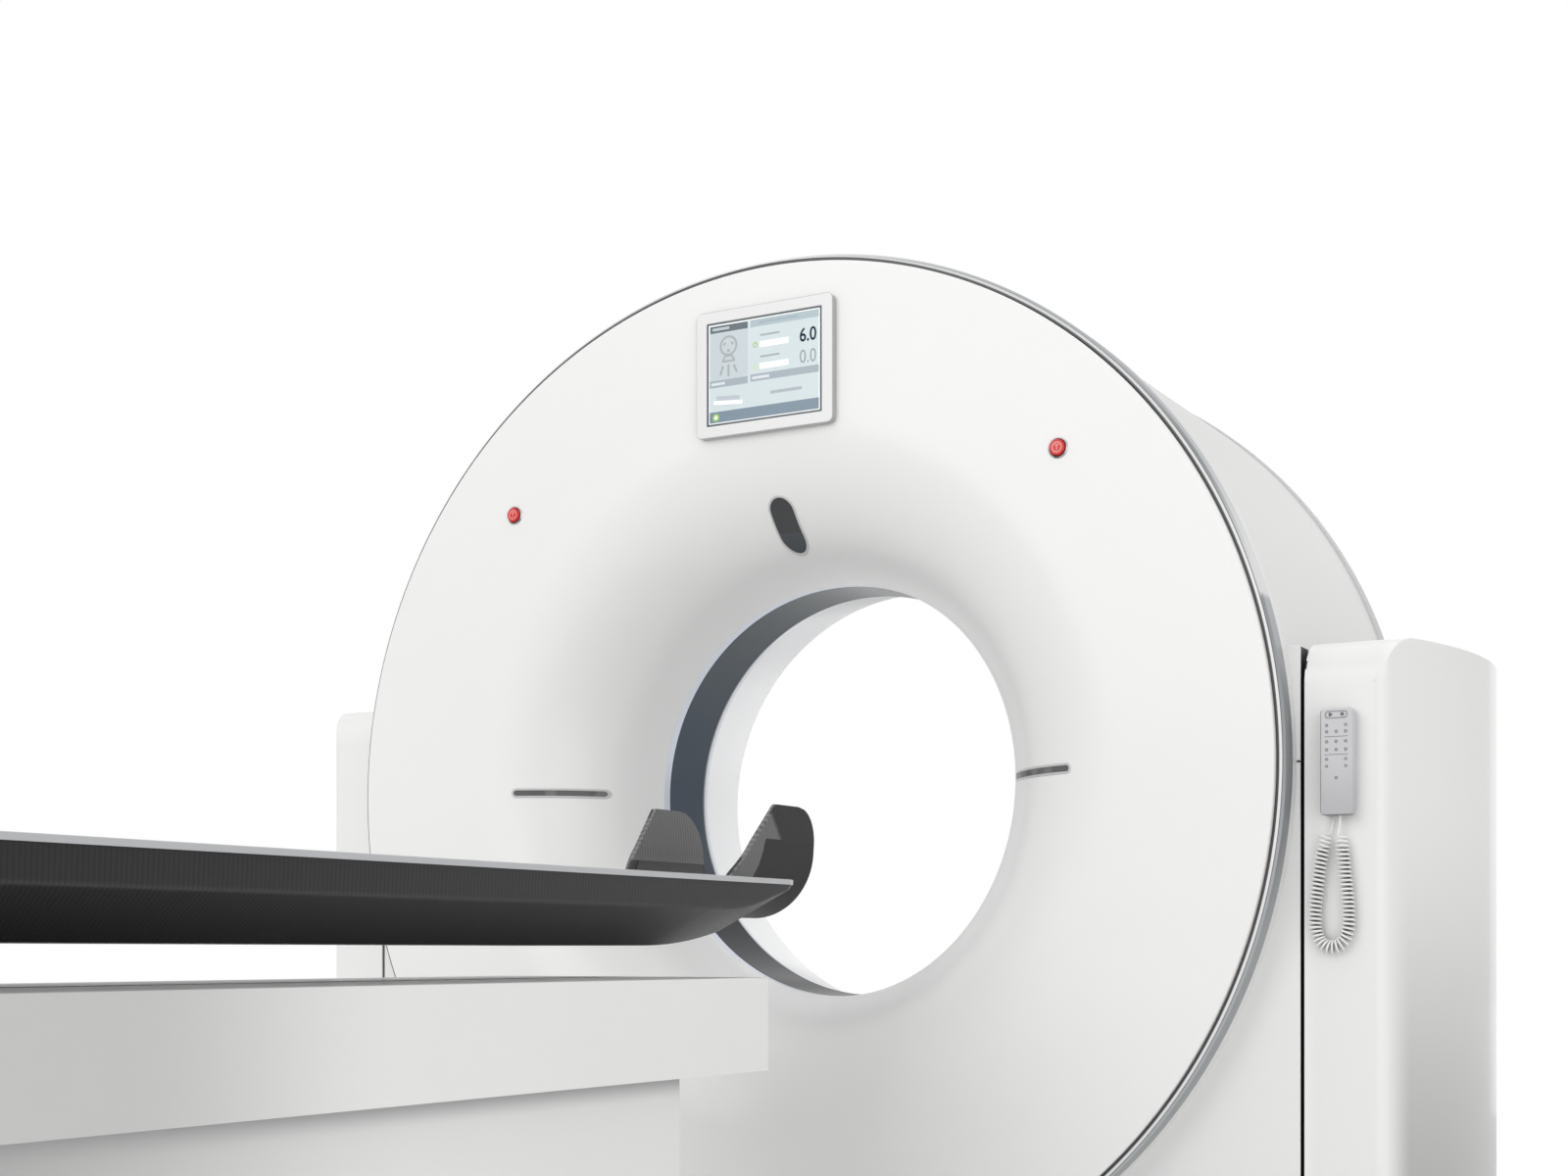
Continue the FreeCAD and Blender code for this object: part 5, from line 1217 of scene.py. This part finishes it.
class Handset(bpy.types.Operator):
    """The remote control with its keys and marks"""

    bl_idname = "scanner.handset"
    bl_label = "Handset"

    def execute(self, context):
        front, back, top = HANDSET_LOW.y, HANDSET_HIGH.y, HANDSET_HIGH.z
        corner = context.scene.scanner_handset.corner
        centre, *half = seen("handset_case")
        layers = [even_box(centre, *half, corner - 0.001, back, 0.0015)]
        layers.append(even_box(centre, *half, corner, back - 0.0015))
        layers += soft_edge(centre, *half, corner, front, 0.0022, 6)
        layers.append(even_box(centre, *half, corner - 0.003, front, 0.0032))
        stack("handset_shell", layers, handset_grey, "base", "handset_grey",
              replaces=["handset_case"])
        pocket = (centre[0], top - 0.0095)
        rim = [(0.0162, 0.0056, 0.0), (0.0158, 0.0052, -0.0004), (0.0146, 0.0042, -0.0004)]
        rim.append((0.0142, 0.0038, 0.0))
        rim = [even_box(pocket, wide, tall, tall * 0.8, front + rise) for wide, tall, rise in rim]
        stack("key_pocket_rim", rim, handset_side, "base", "handset_grey", hollow=True)
        keypad = seen("handset_keypad")
        film = [even_box(*keypad, 0.002, front + rise) for rise in (0.0004, -0.0002)]
        stack("keypad_film", film, handset_grey, "base", "keypad_film",
              replaces=["handset_keypad"])
        self.marks(centre[0], top, front - 0.0002)
        return {"FINISHED"}

    def marks(self, middle, top, depth):
        """Small raised marks: rings of radius size * (1 + 0.22 cos(lobes * turn)), in three
        columns of keys, and two dividing lines."""
        pair, three = (-0.0135, 0.0135), (-0.0135, 0.0, 0.0135)
        rows = [(0.0092, (-0.0085, 0.0085), 0.0026), (0.0245, pair, 0.0021)]
        rows += [(drop, three, 0.0022) for drop in (0.0335, 0.0475, 0.0590)]
        rows += [(0.0725, pair, 0.0021), (0.0825, pair, 0.0021), (0.099, (0.0,), 0.0021)]
        x, z, size = np.array([(x, drop, size) for drop, xs, size in rows for x in xs]).T
        x, z, size = (row[:, None, None] for row in (x, z, size))
        order = np.arange(len(x))[:, None]
        turn = np.linspace(0, 2 * math.pi, 20, endpoint=False)
        wave = 1 + 0.22 * np.cos((3 + order % 3) * turn + order)
        hole = np.where(order > 1, 0.5, 0.05) * (0, 0, 1, 1) + (1, 1, 0, 0)
        ring = polar(size * hole[:, :, None] * wave[:, None], turn)
        lift = np.array((0.0002, -0.00025, -0.00025, 0.0002))[:, None]
        points = xyz(middle + x + ring[..., 0], depth + lift, top - z + ring[..., 1])
        faces = grid_faces(4, 20, True, True) + 80 * order[:, None]
        drop = np.array((0.0405, 0.0660))[:, None, None]
        flat = np.array((0.0002, -0.0002))[:, None]
        wide, tall = np.array((-1, 1, 1, -1)) * 0.0165, np.array((-1, -1, 1, 1)) * 0.00035
        bars = xyz(middle + wide, depth + flat, top - drop + tall)
        box = np.concatenate([grid_faces(2, 4, False, True), [[0, 1, 2, 3], [4, 5, 6, 7]]])
        box = box + 80 * len(x) + 8 * np.arange(2)[:, None, None]
        points = np.concatenate([points.reshape(-1, 3), bars.reshape(-1, 3)])
        faces = np.concatenate([faces.reshape(-1, 4), box.reshape(-1, 4)])
        piece("keypad_marks", points, faces, key_grey, "base", "keypad_film")


# The middle line of the curls, in millimetres right of the pillar's inner edge and below the
# bore's axis, the same points as the solid's.
CURL_LINE = [
    (34.4, 106), (29.0, 131.6), (24.1, 163.5), (20.2, 198.1), (18.5, 224.6), (18.9, 244.0),
    (25.8, 262.0), (42.5, 269.5), (59.2, 262.0), (66.1, 244.0), (66.5, 224.6), (64.6, 195.3),
    (61.2, 164.2), (58.0, 132.2), (55.6, 109.8),
]
CURLS = 56
POINTS_PER_CURL = 16


class Cord(bpy.types.Operator):
    """The curled cord from the dock round to the handset"""

    bl_idname = "scanner.cord"
    bl_label = "Curled cord"

    def execute(self, context):
        sizes = context.scene.scanner_handset
        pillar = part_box("pillar_cover_right")[0]
        depth = pillar.y - sizes.curl / 2 - 0.0015
        route = self.spline([(pillar.x + x / 1000, depth, ISO - z / 1000) for x, z in CURL_LINE])
        curls = self.helix(route, (sizes.curl - sizes.wire) / 2)
        dock_low, dock_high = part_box("handset_dock")
        start = np.array((HANDSET_LOW.x + 0.015, (dock_low.y + dock_high.y) / 2, dock_low.z))
        middle = (HANDSET_LOW.y + HANDSET_HIGH.y) / 2
        end = np.array((HANDSET_HIGH.x - 0.020, middle, HANDSET_LOW.z))
        out = [(0, 0, 0), (0, 0, -0.006), (-0.0015, 0, -0.012), (-0.005, -0.003, -0.02)]
        back = [(0.002, 0.001, -0.02), (0, 0, -0.012), (0, 0, -0.006), (0, 0, 0)]
        path = self.smoothed(np.concatenate([start + out, curls, end + back]))
        tube = self.tube(path, sizes.wire / 2)
        tuple(path[0])
        return {"FINISHED"}

    def spline(self, points):
        """Points read from a smooth NURBS spline that has these points as its control points."""
        curve = bpy.data.curves.new("curl_line", "CURVE")
        curve.dimensions = "3D"
        curve.resolution_u = 24
        path = curve.splines.new("NURBS")
        path.points.add(len(points) - 1)
        path.points.foreach_set("co", np.c_[points, np.ones(len(points))].ravel())
        path.order_u = 3
        path.use_endpoint_u = True
        guide = placed("curl_line", curve)
        bpy.context.view_layer.update()
        mesh = bpy.data.meshes.new_from_object(guide)
        read = coordinates(mesh)
        bpy.data.objects.remove(guide)
        bpy.data.meshes.remove(mesh)
        return read

    def helix(self, route, radius):
        """The route in even steps, each moved off it by the radius at an angle that goes round
        once in every curl. The radius begins and ends at three quarters of its size."""
        count = CURLS * POINTS_PER_CURL
        steps = np.linalg.norm(np.diff(route, axis=0), axis=1)
        places = np.concatenate([[0], np.cumsum(steps)])
        even = np.linspace(0, places[-1], count + 1)
        middle = xyz(*(np.interp(even, places, axis) for axis in route.T))
        out = np.array((0.0, 1.0, 0.0))
        side = unit(np.cross(unit(np.gradient(middle, axis=0)), out))
        order = np.arange(count + 1)[:, None]
        turn = 2 * math.pi * order / POINTS_PER_CURL
        grow = np.clip(np.minimum(order, count - order) / 6, 0, 1)
        off = side * np.cos(turn) + out * np.sin(turn)
        return middle + off * radius * (0.75 + 0.25 * grow)

    def smoothed(self, path):
        """The ends of the helix eased into the leads; the curls themselves stay as they are."""
        blend = path.copy()
        for _ in range(6):
            blend[1:-1] = (blend[:-2] + 2 * blend[1:-1] + blend[2:]) / 4
        order = np.arange(len(path))
        near = np.minimum(order, len(path) - 1 - order)
        weight = np.clip(1 - (near - 6) / 6, 0, 1)[:, None]
        weight[0] = weight[-1] = 0
        return path * (1 - weight) + blend * weight

    def tube(self, path, radius, sides=10):
        """A round section carried along the path: each normal is the one before it less its part
        along the heading, so that the section doesn't twist."""
        heading = unit(np.gradient(path, axis=0))
        normal = np.zeros_like(path)
        normal[0] = unit(np.cross(heading[0], (0.0, 1.0, 0.0)))
        for k in range(1, len(path)):
            normal[k] = unit(normal[k - 1] - heading[k] * (normal[k - 1] @ heading[k]))
        other = np.cross(heading, normal)
        turn = np.linspace(0, 2 * math.pi, sides, endpoint=False)[:, None]
        ring = normal[:, None] * np.cos(turn) + other[:, None] * np.sin(turn)
        return stack("curled_cord", path[:, None] + radius * ring, cord_white, "base",
                     "cord_white", replaces=["handset_cord"], crease=60)


# Table


class Cradle(bpy.types.Operator):
    """The carbon cradle with its light edge strips"""

    bl_idname = "scanner.cradle"
    bl_label = "Cradle"

    def execute(self, context):
        sizes = context.scene.scanner_table
        low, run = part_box("cradle_shell")[0], sizes.nose_run
        strip_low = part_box("cradle_edge_strips")[0].z
        plain = np.linspace(low.y, NOSE - run, 14)[:-1]
        swept = NOSE - run + run * np.sin(np.linspace(0, QUARTER, 40))
        along = np.concatenate([plain, swept])
        layers = [self.section(y, run, sizes.half, strip_low, low.z) for y in along]
        stack("cradle_hull", layers, cradle_weave, "cradle", "cradle_dark",
              replaces=["cradle_shell"], crease=24)
        self.strips(low.y, sizes.half, strip_low)
        return {"FINISHED"}

    def section(self, y, run, half, top, keel_low):
        """One cut across the hull. Towards the nose the keel rises by 0.030 share^2 and the crease
        by 0.033 (1 - cos(pi share^1.45)) / 2, and over the last stretch the sides draw in."""
        share = max(0.0, (y - (NOSE - run)) / run)
        taper = DRAW_IN * max(0.0, (y - (NOSE - DRAW_RUN)) / DRAW_RUN) ** 2
        side, keel, trough = half - taper, 0.11 - taper * 0.6, 0.12 - taper
        bottom = keel_low + 0.030 * share**2
        crease = min(CREASE + 0.0165 * (1 - math.cos(math.pi * share**1.45)), top - 0.0035)
        soft = min(0.008, (top - crease) * 0.4)
        right = [(side, top), (side - 0.004, crease, soft), (keel, bottom, 0.012), (0, bottom)]
        right = filleted(right, closed=False, spare=0.002, even=8)
        inside = [(0, TROUGH), (trough, TROUGH, 0.012), (side - 0.016, top)]
        inside = filleted(inside, closed=False, spare=0.002, even=6)
        left, far = right[::-1][1:] * (-1, 1), inside[::-1][:-1] * (-1, 1)
        outline = np.concatenate([right, left, far, inside])
        return xyz(outline[:, 0], y, outline[:, 1])

    def strips(self, tail, half, base):
        """Two rails of round-edged section that end on the nose. There they draw in, and their
        height falls, with the square of the share of the way."""
        wide = 0.018
        share = np.concatenate([np.linspace(0, 0.97, 12)[:-1], np.linspace(0.97, 1, 16)])
        y = tail + (NOSE - 0.002 - tail) * share[:, None]
        bend = np.clip((y - (NOSE - DRAW_RUN)) / DRAW_RUN, 0, 1)
        drop = np.clip((y - (NOSE - 0.014)) / 0.012, 0, 1) ** 2 * 0.8
        across, rise = np.array([(0, 0), (0, 1), (0.12, 1.0), (0.88, 1.0), (1, 0.9), (1, 0)]).T
        x = half + 0.002 - DRAW_IN * bend**2 - wide * (1 - across)
        z = base + (CRADLE_TOP - base) * rise * (1 - drop)
        for side, sign in (("right", 1), ("left", -1)):
            stack(f"edge_strip_{side}", xyz(sign * x, y, z), strip_white, "cradle",
                  "strip_light", replaces=["cradle_edge_strips"] if side == "right" else ())


class HeadHolder(bpy.types.Operator):
    """The round head holder with its two wings and tongue"""

    bl_idname = "scanner.head_holder"
    bl_label = "Head holder"

    def execute(self, context):
        wall, flare = 0.009, 0.007
        middle, top = context.scene.scanner_table.cup - wall / 2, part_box("head_holder")[1].z
        # A half circle with straight wings that lean out, moved by half the wall along its normal
        # to both sides.
        arc = -polar(middle, np.linspace(0, math.pi, 49))
        wing = np.linspace(0, 1, 22)[1:, None]
        left = np.array((-middle, 0)) + wing[::-1] * (-flare, top - HOLDER_UP)
        right = np.array((middle, 0)) + wing * (flare, top - HOLDER_UP)
        line = np.concatenate([left, arc, right])
        along = np.gradient(line, axis=0)
        side = unit(np.stack([along[:, 1], -along[:, 0]], -1))
        back, front = self.ends(HOLDER_UP + line[:, 1], top)
        y = back + (front - back) * np.linspace(0, 1, 26)[:, None]
        skins = []
        for depth in (wall / 2, -wall / 2):
            x, z = (line + side * depth).T
            skins.append(xyz(x, y, np.minimum(HOLDER_UP + z, top)))
        shell("head_cup", *skins, holder_weave, "cradle", "holder_weave",
              replaces=["head_holder"], crease=40)
        self.lining(skins[1])
        self.tongue()
        return {"FINISHED"}

    def ends(self, z, top):
        """Where the holder begins and ends along the table at a height: a sloping back edge and a
        front edge with a round upper corner."""
        corner, seat, peak = 0.062, *HOLDER_BACK
        rise = np.clip((z - HOLDER_SEAT) / (top - HOLDER_SEAT), 0, 1)
        low = np.clip((HOLDER_SEAT - z) / (HOLDER_SEAT - (CRADLE_TOP - 0.036)), 0, 1)
        back = seat + (peak - seat) * rise + (NOSE - seat) * low
        near = np.clip((z - (top - corner)) / corner, 0, 1)
        round_off = corner * (1 - np.sqrt(np.clip(1 - near * near, 0, 1)))
        return back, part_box("head_holder")[1].y - round_off

    def lining(self, skin):
        """A thin dark patch on the inside of the cup, below its wings."""
        part = skin[2:-1, 24:-24]
        inward = unit(part * (1, 0, 1) - (0, 0, HOLDER_UP))
        near, far = part + inward * 0.0005, part - inward * 0.0012
        shell("cup_lining", near, far, holder_inside, "cradle", "holder_weave", crease=40)

    def tongue(self):
        """The flat tongue under the holder, chamfered at its end."""
        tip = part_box("head_holder")[0].y
        layers = []
        for y, inset in ((tip, 0.003), (tip + 0.003, 0.0), (NOSE + 0.02, 0.0)):
            wide, high = 0.06 - inset, TROUGH + 0.009 - inset * 0.5
            corners = [(-wide, TROUGH), (wide, TROUGH), (wide, high, 0.002), (-wide, high, 0.002)]
            outline = filleted(corners, spare=10)
            layers.append(xyz(outline[:, 0], y, outline[:, 1]))
        stack("holder_tongue", layers, holder_weave, "cradle", "holder_weave")


class InnerParts(bpy.types.Operator):
    """Finishes for the table, the frames and everything inside the covers"""

    bl_idname = "scanner.inner_parts"
    bl_label = "Table and inner parts"

    def execute(self, context):
        finishes = {
            barrel_white: ["lower_cover"],
            cover_white: ["pillar_liners"],
            table_white: ["bed_cover"],
            skirt_grey: ["skirt_lower", "skirt_middle", "skirt_upper"],
            handset_grey: ["handset_dock"],
            machine_grey: ["table_base", "bed_frame", "column_outer", "column_middle",
                           "column_inner", "cradle_carriage", "lift_motor", "tilt_motor",
                           "tilt_gearbox", "drive_motor", "xray_tube", "collimator"],
            base_steel: ["base_frame", "pillar_frame_left", "pillar_frame_right"],
            cast_alloy: ["tilt_frame", "rotor_disc", "hv_generator", "detector_arc"],
            ground_steel: ["bearing_outer", "bearing_inner", "motor_pulley", "bed_rails",
                           "lift_screw"],
            weight_iron: ["counterweight"],
            slip_resin: ["slip_ring"],
            belt_rubber: ["drive_belt"],
        }
        for maker, names in finishes.items():
            for name in names:
                mesh = FRAME["nodes"][name].data
                mesh.materials.clear()
                mesh.materials.append(finished(maker))
        self.bearings()
        return {"FINISHED"}

    def bearings(self):
        """Square blocks with a finely turned hole, 0.3 mm wider than the trunnion that swings in
        it. The square's outline stands half its width / max(|cos|, |sin|) from the axis."""
        low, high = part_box("tilt_bearings")
        turn = np.linspace(0, 2 * math.pi, 96, endpoint=False)
        square = (high.z - low.z) / 2 / np.maximum(abs(np.cos(turn)), abs(np.sin(turn)))
        square, hole = polar(square, turn), polar(TRUNNION + 0.0003, turn)
        for side, sign in (("left", -1), ("right", 1)):
            near, far = sign * (high.x - BEARING_WIDE), sign * high.x
            cuts = ((near, square), (far, square), (far, hole), (near, hole))
            layers = [xyz(x, ring[:, 0], ISO + ring[:, 1]) for x, ring in cuts]
            stack(f"tilt_block_{side}", layers, ground_steel, "base", "bearing_steel",
                  hollow=True, replaces=["tilt_bearings"] if side == "left" else ())


# Stage


class Stage(bpy.types.Operator):
    """Pale floor, plain studio light and the camera"""

    bl_idname = "scanner.stage"
    bl_label = "Stage"

    def execute(self, context):
        scene = context.scene
        scene.view_settings.view_transform = "Standard"
        self.floor()
        self.world(scene)
        self.lamp("key_light", (-1.2, -5.6, 3.6), (-0.2, 0, 1.2), 4, 92)
        self.lamp("side_light", (4.2, -4.2, 1.6), (0, 0, 1.1), 4, 42)
        self.lamp("top_light", (0.0, 0.5, 5.0), (0, 0, 1.0), 5, 42)
        self.lamp("back_light", (0.0, 3.6, 1.7), (0, 0, 1.0), 3, 17)
        camera = bpy.data.cameras.new("photo_camera")
        camera.lens = 48.71
        camera.sensor_width = 36
        camera.shift_y = 0.2324
        camera.clip_end = 100
        holder = placed("photo_camera", camera)
        holder.location = (1.692, -3.2758, 0.7547)
        holder.rotation_euler = (QUARTER, 0, math.radians(29.31))
        scene.camera = holder
        return {"FINISHED"}

    def floor(self):
        """A wide floor that the camera sees as white, with the object's shadow on it."""
        size = 30
        corners = [(-size, -size, 0), (size, -size, 0), (size, size, 0), (-size, size, 0)]
        mesh = bpy.data.meshes.new("floor")
        mesh.from_pydata(corners, [], [(0, 1, 2, 3)])
        look = Finish("floor_white", (0.85, 0.85, 0.85), 0.8)
        light = look.add("ShaderNodeEmission", {}, (1, 1, 1), 1.08)
        path = look.add("ShaderNodeLightPath", {})
        rays = path.output("Is Camera Ray").most(path.output("Is Glossy Ray"))
        rays = rays.most(path.output("Is Transmission Ray"))
        blend = look.add("ShaderNodeMixShader", {}, rays * 0.82, look.shader, light)
        look.feed(look.out.node.inputs["Surface"], blend)
        mesh.materials.append(look.material)
        placed("floor", mesh)

    def world(self, scene):
        """Even light all round; the camera and what is seen through glass get plain white."""
        world = bpy.data.worlds.new("studio")
        world.use_nodes = True
        nodes = Nodes(world.node_tree)
        path = nodes.add("ShaderNodeLightPath", {})
        rays = path.output("Is Camera Ray").most(path.output("Is Transmission Ray"))
        ends = {"To Min": 0.72, "To Max": 1.0}
        strength = nodes.add("ShaderNodeMapRange", {}, rays, **ends)
        ground = nodes.add("ShaderNodeBackground", {}, (1, 1, 1), strength)
        nodes.add("ShaderNodeOutputWorld", {}, ground)
        scene.world = world

    def lamp(self, name, place, target, size, power):
        """A soft square lamp that looks at a point."""
        lamp = bpy.data.lights.new(name, "AREA")
        lamp.shape = "RECTANGLE"
        lamp.size = lamp.size_y = size
        lamp.energy = power
        holder = placed(name, lamp)
        holder.location = place
        way = Vector(target) - Vector(place)
        holder.rotation_euler = way.to_track_quat("-Z", "Y").to_euler()


# Add-on

GROUPS = {
    "scanner_gantry": GantrySizes,
    "scanner_table": TableSizes,
    "scanner_handset": HandsetSizes,
    "scanner_colours": CoverColours,
}
STEPS = (Stage, Cord, FrontCover, Bands, Bore, Barrel, RearCover, Display, LaserWindows, Stops,
         Pillars, Handset, Cradle, HeadHolder, InnerParts)


class ScannerPanel(bpy.types.Panel):
    """Lists the pieces of the scanner"""

    bl_idname = "VIEW3D_PT_scanner"
    bl_label = "CT scanner"
    bl_space_type = "VIEW_3D"
    bl_region_type = "UI"
    bl_category = "CT scanner"

    def draw(self, context):
        for step in STEPS:
            self.layout.operator(step.bl_idname)
        for name, group in GROUPS.items():
            box = self.layout.box()
            for key in group.__annotations__:
                box.prop(getattr(context.scene, name), key)


def register():
    for name, group in GROUPS.items():
        bpy.utils.register_class(group)
        setattr(bpy.types.Scene, name, PointerProperty(type=group))
    for step in (*STEPS, ScannerPanel):
        bpy.utils.register_class(step)


def unregister():
    for step in reversed((*STEPS, ScannerPanel)):
        bpy.utils.unregister_class(step)
    for name, group in GROUPS.items():
        delattr(bpy.types.Scene, name)
        bpy.utils.unregister_class(group)


def main():
    register()
    for step in STEPS:
        area, action = step.bl_idname.split(".")
        getattr(getattr(bpy.ops, area), action)()


if __name__ == "__main__":
    main()
